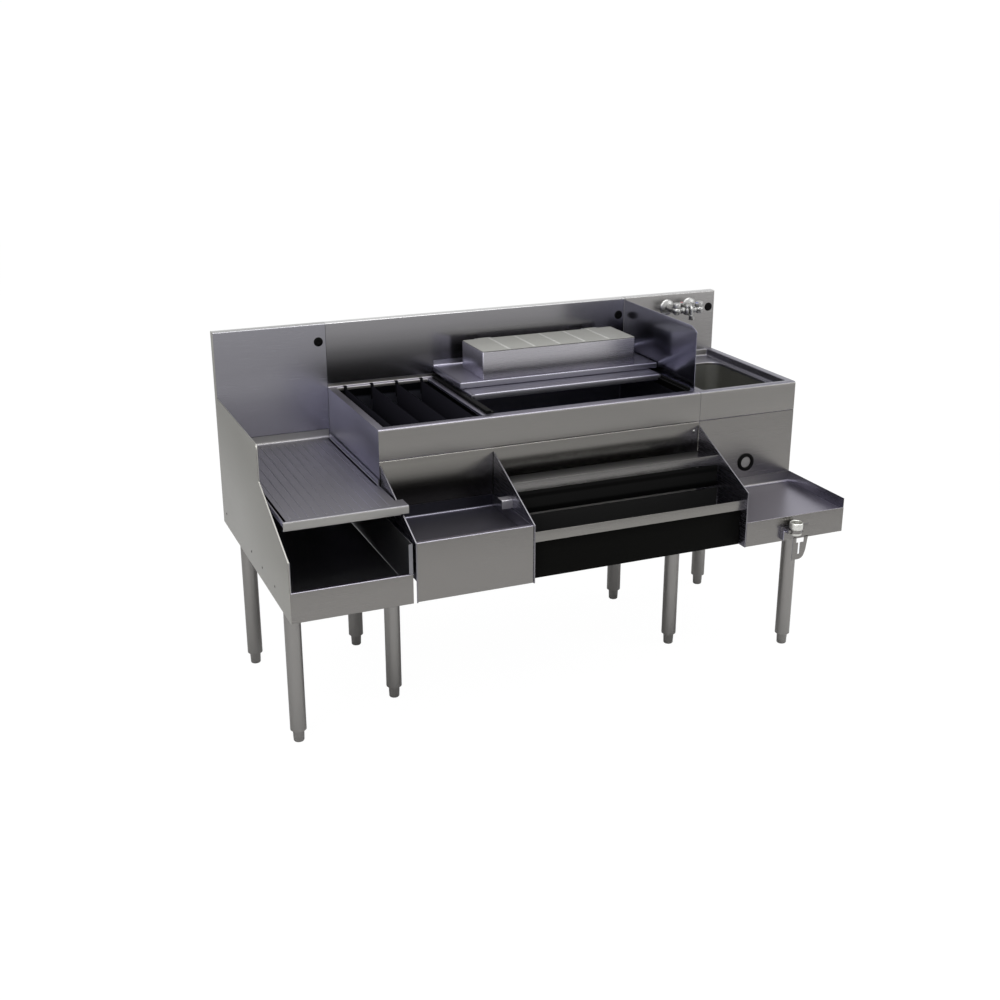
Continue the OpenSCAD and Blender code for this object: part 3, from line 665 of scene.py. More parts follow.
@dataclass
class Shape:
    """A mesh in the making, in station mm.

    Attributes:
        mesh: the mesh.
    """

    mesh: bmesh.types.BMesh = field(default_factory=bmesh.new)

    def block(self, box: Sequence[float], soft: float = 0.0, steps: int = 2) -> None:
        """Adds a box with softened edges.

        Args:
            box: x0, x1, y0, y1, z0, z1.
            soft: width of the softened edges.
            steps: segments across each softened edge.
        """
        x0, x1, y0, y1, z0, z1 = box
        middle = Matrix.Translation(((x0 + x1) / 2, (y0 + y1) / 2, (z0 + z1) / 2))
        sides = Matrix.Diagonal((x1 - x0, y1 - y0, z1 - z0, 1.0))
        made = bmesh.ops.create_cube(self.mesh, size=1.0, matrix=middle @ sides)
        self._soften({e for v in made["verts"] for e in v.link_edges}, soft, steps)

    def _soften(self, edges: set, soft: float, steps: int) -> None:
        """Bevels edges by a width.

        Args:
            edges: the edges.
            soft: the bevel's width; 0 leaves them sharp.
            steps: segments across each bevel.
        """
        if soft > 0:
            bmesh.ops.bevel(
                self.mesh,
                geom=list(edges),
                offset=soft,
                segments=steps,
                profile=0.5,
                affect="EDGES",
                material=-1,
            )

    def prism(
        self,
        outline: Sequence[Sequence[float]],
        axis: Axis,
        start: float,
        end: float,
        soft: float = 0.0,
        steps: int = 2,
    ) -> None:
        """Pulls a closed flat outline along an axis.

        Args:
            outline: the outline's points, once around.
            axis: the direction of the pull.
            start: where it starts.
            end: where it ends.
            soft: width of the softened edges.
            steps: segments across each softened edge.
        """
        corners = [self.mesh.verts.new(axis.place(p[0], p[1], start)) for p in outline]
        face = self.mesh.faces.new(corners)
        pulled = bmesh.ops.extrude_face_region(self.mesh, geom=[face])["geom"]
        moved = [g for g in pulled if isinstance(g, bmesh.types.BMVert)]
        bmesh.ops.translate(self.mesh, verts=moved, vec=axis.place(0.0, 0.0, end - start))
        self._soften({e for v in moved + corners for e in v.link_edges}, soft, steps)

    def fold(
        self, corners: Sequence[Bend], axis: Axis, start: float, end: float, thick: float = SHEET
    ) -> None:
        """Adds a sheet folded along a side line.

        Args:
            corners: (a, b, radius) of each fold of the sheet's middle.
            axis: the direction of the folds.
            start: where the sheet starts along it.
            end: where it ends.
            thick: the sheet's thickness.
        """
        self.prism(sheet_outline(bent_path(corners), thick), axis, start, end)

    def loop(self, points: Sequence[Vector]) -> list:
        """Adds a closed loop of edges.

        Args:
            points: the loop's points, once around.

        Returns:
            The loop's edges.
        """
        corners = [self.mesh.verts.new(p) for p in points]
        pairs = zip(corners, corners[1:] + corners[:1])
        return [self.mesh.edges.new(pair) for pair in pairs]

    def skin(self, loops: Sequence[Sequence[Vector]], close: bool = False) -> list:
        """Bridges loops one after another.

        Args:
            loops: the loops, each with as many points.
            close: whether the last loop is filled.

        Returns:
            The edges of each loop.
        """
        rings = [self.loop(points) for points in loops]
        for first, second in zip(rings, rings[1:]):
            bmesh.ops.bridge_loops(self.mesh, edges=first + second)
        if close:
            bmesh.ops.contextual_create(self.mesh, geom=rings[-1])
        return rings

    def plate(self, rings: Sequence[list]) -> None:
        """Fills the flat region between an outer loop of edges and its holes."""
        edges = [edge for ring in rings for edge in ring]
        bmesh.ops.triangle_fill(self.mesh, use_beauty=True, edges=edges)

    def thicken(self, thick: float, inward: Vector) -> None:
        """Gives an open skin its thickness, away from a point.

        Args:
            thick: the wall's thickness.
            inward: a point on the side that shows.
        """
        bmesh.ops.remove_doubles(self.mesh, verts=self.mesh.verts, dist=MERGE)
        bmesh.ops.recalc_face_normals(self.mesh, faces=self.mesh.faces)
        lowest = min(self.mesh.faces, key=lambda f: (f.calc_center_median() - inward).length)
        if (inward - lowest.calc_center_median()).dot(lowest.normal) < 0:
            bmesh.ops.reverse_faces(self.mesh, faces=self.mesh.faces)
        bmesh.ops.solidify(self.mesh, geom=list(self.mesh.faces), thickness=thick)

    def lathe(
        self,
        outline: Sequence[tuple[float, float]],
        at: Sequence[float],
        axis: Axis = Axis.Z,
        steps: int = 40,
        flip: bool = False,
    ) -> None:
        """Turns an outline of (radius, height) round an axis.

        Args:
            outline: the outline's points, from one end to the other.
            at: the point on the axis where height is zero.
            axis: the axis.
            steps: segments round the axis.
            flip: whether heights count towards the axis's negative end.
        """
        corners = [self.mesh.verts.new((max(r, 0.0), 0.0, -h if flip else h)) for r, h in outline]
        edges = [self.mesh.edges.new(pair) for pair in zip(corners, corners[1:])]
        bmesh.ops.spin(
            self.mesh,
            geom=corners + edges,
            axis=(0, 0, 1),
            cent=(0, 0, 0),
            steps=steps,
            angle=2 * math.pi,
            use_merge=True,
        )
        faces = {f for e in edges for f in e.link_faces}
        reach = set(faces)
        while reach:
            reach = {n for f in reach for e in f.edges for n in e.link_faces} - faces
            faces |= reach
        points = list({v for f in faces for v in f.verts})
        bmesh.ops.remove_doubles(self.mesh, verts=points, dist=LATHE_MERGE)
        points = [v for v in points if v.is_valid]
        matrix = Matrix.Translation(Vector(at)) @ axis.turn()
        bmesh.ops.transform(self.mesh, matrix=matrix, verts=points)

    def pipe(self, path: Sequence[Vector], radius: float, steps: int = 20) -> None:
        """Runs a round bar along a line of points.

        Args:
            path: the line.
            radius: the bar's radius.
            steps: segments round the bar.
        """
        rings = []
        for index, here in enumerate(path):
            way = path[min(index + 1, len(path) - 1)] - path[max(index - 1, 0)]
            turn = way.to_track_quat("Z", "Y").to_matrix().to_4x4()
            made = bmesh.ops.create_circle(
                self.mesh,
                segments=steps,
                radius=radius,
                cap_ends=False,
                matrix=Matrix.Translation(here) @ turn,
            )
            rings.append(list({e for v in made["verts"] for e in v.link_edges}))
        for first, second in zip(rings, rings[1:]):
            bmesh.ops.bridge_loops(self.mesh, edges=first + second)
        bmesh.ops.contextual_create(self.mesh, geom=rings[0])
        bmesh.ops.contextual_create(self.mesh, geom=rings[-1])

    def finish(
        self,
        name: str,
        finish: Finish,
        body: Body | str = Body.STATION,
        node: str = "",
    ) -> bpy.types.Object:
        """Turns the shape into a dressed piece of the station.

        Args:
            name: the piece's name.
            finish: its finish.
            body: the body that it rides on.
            node: the CAD node that it stands for, if there is one.

        Returns:
            The piece.
        """
        bmesh.ops.recalc_face_normals(self.mesh, faces=self.mesh.faces)
        bmesh.ops.transform(self.mesh, matrix=SITE.to_row(), verts=self.mesh.verts)
        data = bpy.data.meshes.new(name)
        self.mesh.to_mesh(data)
        self.mesh.free()
        # Face normals, for the light and shade painted by facing.
        facing = data.attributes.new(FACING, "FLOAT_VECTOR", "FACE")
        for face in data.polygons:
            facing.data[face.index].vector = face.normal
        data.shade_smooth()
        data.set_sharp_from_angle(angle=math.radians(SMOOTH_DEG))
        piece = bpy.data.objects.new(name, data)
        bpy.context.scene.collection.objects.link(piece)
        data.materials.append(finish.material())
        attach(piece, body.value if isinstance(body, Body) else body)
        if node:
            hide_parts(node)
        LOG.info("%s: %d faces", name, len(data.polygons))
        return piece


def dress_node(node: str, finish: Finish) -> None:
    """Gives a CAD node that shows as it is its finish.

    Args:
        node: the node's name.
        finish: its finish.
    """
    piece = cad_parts[node]
    piece.data.materials.clear()
    piece.data.materials.append(finish.material())
    LOG.info("%s: CAD node", node)


def rectangle(sides: Sequence[float], z: float) -> list[Vector]:
    """Rectangle at a height, as one loop of points.

    Args:
        sides: x0, x1, y0, y1.
        z: height.

    Returns:
        The points, once around.
    """
    x0, x1, y0, y1 = sides
    return [Vector((x, y, z)) for x, y in ((x0, y0), (x1, y0), (x1, y1), (x0, y1))]


def rolled_edge(sides: Sequence[float], corner: float, lip: float, rim: float) -> list[list[Vector]]:
    """Loops of a surface that rolls down into an opening.

    Args:
        sides: x0, x1, y0, y1 of the opening.
        corner: radius of the opening's corners.
        lip: radius of the roll.
        rim: height of the surface.

    Returns:
        The loops from the surface down to the upright wall.
    """
    x0, x1, y0, y1 = sides
    loops = []
    for step in range(LIP_STEPS + 1):
        turn = math.pi / 2 * step / LIP_STEPS
        out = lip * (1 - math.sin(turn))
        drop = lip * (1 - math.cos(turn))
        loops.append(round_loop(x0 - out, x1 + out, y0 - out, y1 + out, corner + out, rim - drop))
    return loops


def liner_loops(box: Sequence[float], corner: float, lip: float, cove: float) -> list[list[Vector]]:
    """Loops of a well seen from above: a rolled lip, upright walls and a coved floor.

    Args:
        box: x0, x1, y0, y1 of the opening, then the floor's and the rim's heights.
        corner: radius of the upright corners.
        lip: radius of the rolled lip.
        cove: radius between the walls and the floor.

    Returns:
        The loops from the rim to the floor.
    """
    x0, x1, y0, y1, floor, rim = box
    least = 0.4
    loops = rolled_edge((x0, x1, y0, y1), corner, lip, rim)
    for step in range(COVE_STEPS + 1):
        turn = math.pi / 2 * step / COVE_STEPS
        inset = cove * (1 - math.cos(turn))
        rise = cove * (1 - math.sin(turn))
        radius = max(corner - inset, least)
        loops.append(round_loop(x0 + inset, x1 - inset, y0 + inset, y1 - inset, radius, floor + rise))
    return loops


def circle_loop(mid_x: float, mid_y: float, radius: float, z: float, count: int = 24) -> list[Vector]:
    """Circle at a height, as one loop of points.

    Args:
        mid_x: centre along x.
        mid_y: centre along y.
        radius: the circle's radius.
        z: height.
        count: number of points.

    Returns:
        The points, once around.
    """
    turns = [2 * math.pi * (step + 0.5) / count for step in range(count)]
    return [Vector((mid_x + radius * math.cos(t), mid_y + radius * math.sin(t), z)) for t in turns]


# Sub-assemblies


@dataclass
class Backsplash:
    """Three folded backsplash pans and the black plugs in them.

    Attributes:
        bend: radius of the folds.
        hem: width of the hems at the back.
        plug_gaps: from each pan's right end to its plug's middle.
    """

    bend: float = 3.0
    hem: float = 16.0
    plug_gaps: tuple[float, ...] = (20.3, 21.5, 19.0)

    def build(self) -> None:
        """Builds the pans and the plugs."""
        for side in ("left", "centre", "right"):
            self.pan(side)
        self.plugs()

    def pan(self, side: str) -> None:
        """One pan, open at the back.

        Args:
            side: which of the three.
        """
        box = SITE.span(f"backsplash_{side}")
        front = box.y0 + HALF
        back = box.y1 - HALF
        top = box.z1 - HALF
        low = box.z0 + HALF
        shape = Shape()
        path = (
            (back, top - self.hem, 0.0), (back, top, self.bend), (front, top, self.bend),
            (front, low, self.bend), (back, low, self.bend), (back, low + self.hem, 0.0),
        )
        shape.fold(path, Axis.X, box.x0, box.x1)
        for x in (box.x0, box.x1 - SHEET):
            shape.block((x, x + SHEET, box.y0 + 1, box.y1, box.z0 + 1, box.z1 - 1), 0.3, 1)
        # Each pan gets its own lit copy of the steel, with painted shade and highlight.
        finish = {"left": STEEL_SPLASH_LEFT, "centre": STEEL_SPLASH, "right": STEEL_SPLASH_RIGHT}[side]
        shape.finish(f"backsplash_{side}_pan", finish, node=f"backsplash_{side}")

    def plugs(self) -> None:
        """Domed plugs, one near each pan's right end."""
        box = SITE.span("splash_plugs")
        radius = (box.z1 - box.z0) / 2
        deep = box.y1 - box.y0
        shape = Shape()
        for side, gap in zip(("left", "centre", "right"), self.plug_gaps):
            end = SITE.span(f"backsplash_{side}").x1
            outline = (
                (0.0, deep * 0.7), (radius * 0.3, deep * 0.7), (radius * 0.36, deep),
                (radius * 0.8, deep * 0.95), (radius * 0.95, deep * 0.6), (radius, deep * 0.2),
                (radius, 0.0), (0.0, 0.0),
            )
            shape.lathe(outline, (end - gap, box.y1, box.mid_z), Axis.Y, 40, flip=True)
        shape.finish("backsplash_plugs", BLACK, node="splash_plugs")


@dataclass
class DrainModule:
    """Left module: end panel, inner wall, drainboard and open storage.

    Attributes:
        bend: radius of the end panel's folds.
        skin: gap between the end panel's face and the station's left side.
        return_w: how far the end panel's returns reach to the right.
        board_h: from the drainboard's lower edge to its surface.
        lap_back: back end of the lap over the next bay.
        edge_front: front end of the raised right edge.
        edge_top: height of the raised right edge.
        rib_count: number of ribs.
        rib_w: width of a rib.
        fascia_h: height of the storage's fascia.
        floor_h: height of the storage's floor over the fascia's lower edge.
        wall_top: height of the storage's left wall.
        screw_r: radius of the screw heads.
        screw_ys: places of the end panel's screws.
    """

    bend: float = 2.5
    skin: float = 0.6
    return_w: float = 4.0
    board_h: float = 23.0
    lap_back: float = -594.0
    edge_front: float = -474.0
    edge_top: float = 635.0
    rib_count: int = 12
    rib_w: float = 4.0
    fascia_h: float = 76.0
    floor_h: float = 34.0
    wall_top: float = 556.0
    screw_r: float = 4.5
    screw_ys: tuple[float, ...] = (-45.0, -343.0, -458.0, -585.0)

    def build(self) -> None:
        """Builds the module's pieces."""
        self.end_panel()
        self.inner_wall()
        self.drainboard()
        self.storage()
        self.screws()

    def end_panel(self) -> None:
        """Folded left panel with a sloping front."""
        box = SITE.span("end_panel_left")
        plate = SITE.span("rail_plate_mid")
        low_top = SITE.span("end_panel_inner").z1
        rim = SITE.span("sink_deck").z1
        splash = SITE.span("backsplash_left").y0 + 2
        outline = (
            (box.y1, box.z0), (box.y0, box.z0), (box.y0, low_top), (plate.y1, plate.z1),
            (plate.y1, rim - 12), (plate.y1 + 3.5, rim - 3.5), (plate.y1 + 12, rim), (splash, rim),
            (splash, box.z1), (box.y1, box.z1),
        )
        shape = Shape()
        shape.prism(outline, Axis.X, self.skin, self.skin + SHEET, 0.45, 2)
        lip = SITE.span("storage_tray").z0 + self.fascia_h + 1
        path = (
            (box.y0 + HALF, lip, 0.0), (box.y0 + HALF, low_top - 0.4, self.bend),
            (plate.y1 + HALF, plate.z1 - 0.4, self.bend), (plate.y1 + HALF, rim - HALF, 12.0),
            (splash - 4, rim - HALF, 0.0),
        )
        shape.fold(path, Axis.X, self.skin + 0.5, self.return_w)
        low = ((box.y0 + 2, box.z0 + HALF, 0.0), (-30.0, box.z0 + HALF, 0.0))
        shape.fold(low, Axis.X, self.skin + 0.5, self.return_w)
        shape.finish("end_panel_left_sheet", STEEL_SIDE, node="end_panel_left")

    def inner_wall(self) -> None:
        """Right wall of the storage, with its narrow front flange."""
        box = SITE.span("end_panel_inner")
        flange_low = SITE.span("storage_tray").z0 + self.fascia_h + 1
        shape = Shape()
        shape.block((box.x1 - SHEET, box.x1, box.y0 + 2, box.y1, box.z0, box.z1), 0.4)
        shape.block((box.x0, box.x1, box.y0, box.y0 + SHEET, flange_low, box.z1), 0.5)
        shape.finish("storage_wall", STEEL_INSIDE, node="end_panel_inner")

    def drainboard(self) -> None:
        """Drainboard with raised ribs, a rolled front lip and a coved back."""
        box = SITE.span("drainboard")
        right = SITE.span("centre_side_left").x0 - 3.3
        top = box.z0 + self.board_h - HALF
        shape = Shape()
        path = (
            (box.y0 + 9, box.z0 + 0.8, 0.0), (box.y0 + HALF, box.z0 + 0.8, 1.2),
            (box.y0 + HALF, top, 4.0), (box.y1 - HALF, top, 8.0), (box.y1 - HALF, box.z1, 0.0),
        )
        shape.fold(path, Axis.X, box.x0, right)
        lap = (
            (box.y0 + HALF, box.z0 + 3, 0.0), (box.y0 + HALF, top, 4.0), (self.lap_back, top, 0.0),
        )
        shape.fold(lap, Axis.X, right - 0.2, box.x1)
        edge = ((right - 9, top, 0.0), (right - HALF, top, 2.5), (right - HALF, self.edge_top, 0.0))
        shape.fold(edge, Axis.Y, self.edge_front, box.y1 - 11)
        near = ((box.x0 + 9, top, 0.0), (box.x0 + HALF, top, 2.5), (box.x0 + HALF, top - 12, 0.0))
        shape.fold(near, Axis.Y, box.y0 + 5, box.y1 - 11)
        shape.finish("drainboard_sheet", STEEL_DRAIN, node="drainboard")
        self.ribs(box, right, top + HALF)

    def ribs(self, box: Span, right: float, top: float) -> None:
        """Raised ribs from front to back.

        Args:
            box: the drainboard's box.
            right: the board's right edge.
            top: height of its surface.
        """
        pitch = (right - box.x0) / (self.rib_count + 1)
        shape = Shape()
        for index in range(self.rib_count):
            x = box.x0 + pitch * (index + 1)
            sides = (x - self.rib_w / 2, x + self.rib_w / 2, box.y0 + 18, box.y1 - 31)
            shape.block((*sides, top - 0.6, top + 0.8), 0.6, 3)
        shape.finish("drainboard_ribs", STEEL_DRAIN)

    def storage(self) -> None:
        """Storage floor, back, left wall and the fascia with its lip."""
        box = SITE.span("storage_tray")
        lip_top = box.z0 + self.fascia_h - HALF
        floor = box.z0 + self.floor_h - HALF
        shape = Shape()
        fascia = (
            (box.y0 + 12, lip_top - 8, 0.0), (box.y0 + 12, lip_top, 2.0),
            (box.y0 + HALF, lip_top, 2.5), (box.y0 + HALF, box.z0 + HALF, 2.0),
            (box.y0 + 12, box.z0 + HALF, 0.0),
        )
        shape.fold(fascia, Axis.X, box.x0, box.x1)
        shape.finish("storage_fascia", STEEL, node="storage_tray")
        inside = Shape()
        wall = self.return_w + 0.5
        tray = ((box.y0 + 2, floor, 0.0), (box.y1 - HALF, floor, 8.0), (box.y1 - HALF, box.z1, 0.0))
        inside.fold(tray, Axis.X, wall + 0.1, box.x1 - 2.6)
        inside.block((wall, wall + SHEET, box.y0 + 2, box.y1, floor, self.wall_top), 0.4)
        inside.finish("storage_floor", STEEL_INSIDE)

    def screws(self) -> None:
        """Dark heads on the end panel and a bright one under the apron."""
        low = SITE.span("case_screws")
        z = low.z0 + self.screw_r
        shape = Shape()
        for y in self.screw_ys:
            self.head(shape, (1.6, y, z), Axis.X, 1.6)
        bright = Shape()
        panel = SITE.span("centre_front_panel").y0
        self.head(bright, (low.x1 - self.screw_r, panel, low.z1 - self.screw_r), Axis.Y, 3.0)
        shape.finish("case_screw_heads", SCREW, node="case_screws")
        bright.finish("panel_bolt", CHROME)

    def head(self, shape: Shape, at: Sequence[float], axis: Axis, high: float) -> None:
        """One domed head with a dimple in its middle.

        Args:
            shape: the shape that it is added to.
            at: middle of the head's seat.
            axis: the screw's axis; the head points to its negative end.
            high: the head's height.
        """
        r = self.screw_r
        outline = (
            (0.0, high * 0.55), (r * 0.3, high * 0.6), (r * 0.38, high * 0.97),
            (r * 0.7, high * 0.85), (r * 0.95, high * 0.4), (r, 0.0), (0.0, 0.0),
        )
        shape.lathe(outline, at, axis, 28, flip=True)


def apron_path(front: float, low: float, rim: float) -> tuple[Bend, ...]:
    """Side line of an apron with its bottom return and rounded top edge.

    Args:
        front: front face.
        low: lower edge.
        rim: height of the rim.

    Returns:
        The folds.
    """
    return (
        (front + 14, low + 8, 0.0), (front + 14, low + HALF, 1.5), (front + HALF, low + HALF, 1.5),
        (front + HALF, rim - HALF, 5.2), (front + 7, rim - HALF, 0.0),
    )


@dataclass
class CentreModule:
    """Centre module: deck, walls, liners, dividers and what is hidden under them.

    Attributes:
        lip: radius of the openings' rolled edges.
        corner: radius of the openings' corners.
        throat: how far the rolled edges hang below the rim.
        flange: from a liner's box to its opening at the sides and front.
        back_flange: the same at the back.
        cove: radius between the liners' walls and floors.
        foot_top: height of the strip of painted shade at the foot of the panel.
        divider_xs: middles of the bottle dividers.
        waste_r: radius of the hole in the bin's floor.
        pipe_top: height where the bin waste's pipe widens.
    """

    lip: float = 3.0
    corner: float = 3.0
    throat: float = 9.0
    flange: float = 9.0
    back_flange: float = 8.0
    cove: float = 10.0
    foot_top: float = 597.0
    divider_xs: tuple[float, ...] = (351.0, 427.0, 498.4, 572.0)
    waste_r: float = 14.0
    pipe_top: float = 434.0

    def build(self) -> None:
        """Builds the module's pieces."""
        self.deck()
        self.walls()
        self.liners()
        self.dividers()
        self.drain()
        dress_node("centre_underpan", STEEL)
        dress_node("insulation", FOAM)

    def openings(self) -> dict[str, tuple[float, float, float, float]]:
        """Sides of the two openings, from the liners' boxes.

        Returns:
            x0, x1, y0, y1 of the well and of the bin.
        """
        found = {}
        for name, node in (("well", "well_liner"), ("bin", "bin_liner")):
            box = SITE.span(node)
            edge = self.flange
            found[name] = (box.x0 + edge, box.x1 - edge, box.y0 + edge, box.y1 - self.back_flange)
        return found

    def deck(self) -> None:
        """Deck with rolled-down openings, the apron and the back upturn."""
        box = SITE.span("centre_deck")
        rim = SITE.span("sink_deck").z1
        shape = Shape()
        tops = [shape.loop(rectangle((box.x0, box.x1, box.y0 + 6, box.y1 - 5), rim))]
        for sides in self.openings().values():
            loops = rolled_edge(sides, self.corner, self.lip, rim)
            loops.append(round_loop(*sides, self.corner, rim - self.throat))
            tops.append(shape.skin(loops)[0])
        shape.plate(tops)
        shape.thicken(SHEET, Vector((box.mid_x, box.mid_y, rim + 500)))
        shape.fold(apron_path(box.y0, box.z0, rim), Axis.X, box.x0, box.x1 - 0.3)
        back = (
            (box.y1 - 5.2, rim - HALF, 0.0), (box.y1 - HALF, rim - HALF, 4.0),
            (box.y1 - HALF, box.z1, 0.0),
        )
        shape.fold(back, Axis.X, box.x0, box.x1 - 0.3)
        shape.finish("centre_deck_sheet", STEEL_TOP, node="centre_deck")

    def walls(self) -> None:
        """Side walls and the panel under the apron."""
        for side in ("left", "right"):
            box = SITE.span(f"centre_side_{side}")
            shape = Shape()
            shape.block(astuple(box), 0.4)
            shape.finish(f"centre_wall_{side}", STEEL_WALL, node=f"centre_side_{side}")
        box = SITE.span("centre_front_panel")
        path = (
            (box.y0 + 12, box.z0 + HALF, 0.0), (box.y0 + HALF, box.z0 + HALF, 2.0),
            (box.y0 + HALF, box.z1 - HALF, 2.0), (box.y0 + 10, box.z1 - HALF, 0.0),
        )
        seam = SITE.span("rail_plate_mid").x1 - 2
        foot = (*path[:2], (box.y0 + HALF, self.foot_top, 0.0))
        upper = ((box.y0 + HALF, self.foot_top, 0.0), *path[2:])
        # Three pieces of one panel, each with its own painted shade and painted reflection by height.
        sides = (
            ("shelf", path, box.x0, seam, STEEL_PANEL),
            ("rail", upper, seam, box.x1, STEEL_PANEL_RAIL),
            ("foot", foot, seam, box.x1, PANEL_FOOT_SHADE),
        )
        for side, line, start, end, finish in sides:
            shape = Shape()
            shape.fold(line, Axis.X, start, end)
            shape.finish(f"centre_panel_{side}", finish, node="centre_front_panel")

    def liners(self) -> None:
        """Coved insides of the bottle well and of the ice bin."""
        for name, sides in self.openings().items():
            node = f"{name}_liner"
            box = SITE.span(node)
            x0, x1, y0, y1 = sides
            grow = SHEET + 0.1
            shape = Shape()
            opening = (x0 - grow, x1 + grow, y0 - grow, y1 + grow, box.z0 + SHEET, box.z1 - 6)
            loops = liner_loops(opening, self.corner + grow, 0.0, self.cove)
            if name == "bin":
                loops.append(circle_loop((x0 + x1) / 2, (y0 + y1) / 2, self.waste_r, box.z0 + SHEET))
                shape.skin(loops)
            else:
                shape.skin(loops, close=True)
            shape.thicken(SHEET, Vector(((x0 + x1) / 2, (y0 + y1) / 2, box.z0 + 150)))
            shape.finish(f"{name}_inside", STEEL_BIN if name == "bin" else STEEL_WELL, node=node)

    def dividers(self) -> None:
        """Four bottle dividers, each with a hook over the back rim."""
        box = SITE.span("bottle_dividers")
        shape = Shape()
        hooks = Shape()
        back = self.openings()["well"][3]
        for x in self.divider_xs:
            shape.block((x - 1, x + 1, box.y0, back - 1, box.z0, box.z1 - 6), 0.5)
            top = box.z1 - HALF
            hook = ((back - 1.8, box.z1 - 44, 0.0), (back - 1.8, top, 1.6), (box.y1, top, 0.0))
            hooks.fold(hook, Axis.X, x - 4, x + 4)
        shape.finish("bottle_divider_plates", DIVIDER, node="bottle_dividers")
        hooks.finish("bottle_divider_hooks", DIVIDER)

    def drain(self) -> None:
        """Waste fitting of the ice bin with a pierced strainer."""
        box = SITE.span("bin_drain")
        top = box.z1
        shape = Shape()
        shape.lathe(
            (
                (10.2, box.z0), (12.7, box.z0), (12.7, self.pipe_top), (13.7, self.pipe_top + 0.5),
                (13.7, top - 10.4), (17.4, top - 10.4), (18.0, top - 9.8), (18.0, top - 3.2),
                (14.0, top - 3.1), (14.0, top - 1.5), (21.4, top - 1.5), (22.0, top - 0.9),
                (20.0, top), (11.5, top), (10.2, top - 1.2), (10.2, box.z0),
            ),
            (box.mid_x, box.mid_y, 0.0),
        )
        holes = Shape()
        rings = [holes.loop(circle_loop(box.mid_x, box.mid_y, 10.4, top - 0.6))]
        for index in range(6):
            turn = math.radians(60 * index)
            at = (box.mid_x + 6 * math.cos(turn), box.mid_y + 6 * math.sin(turn))
            rings.append(holes.loop(circle_loop(*at, 1.8, top - 0.6, 12)))
        holes.plate(rings)
        holes.thicken(0.8, Vector((box.mid_x, box.mid_y, top + 50)))
        shape.finish("bin_waste", CHROME, node="bin_drain")
        holes.finish("bin_strainer", CHROME)


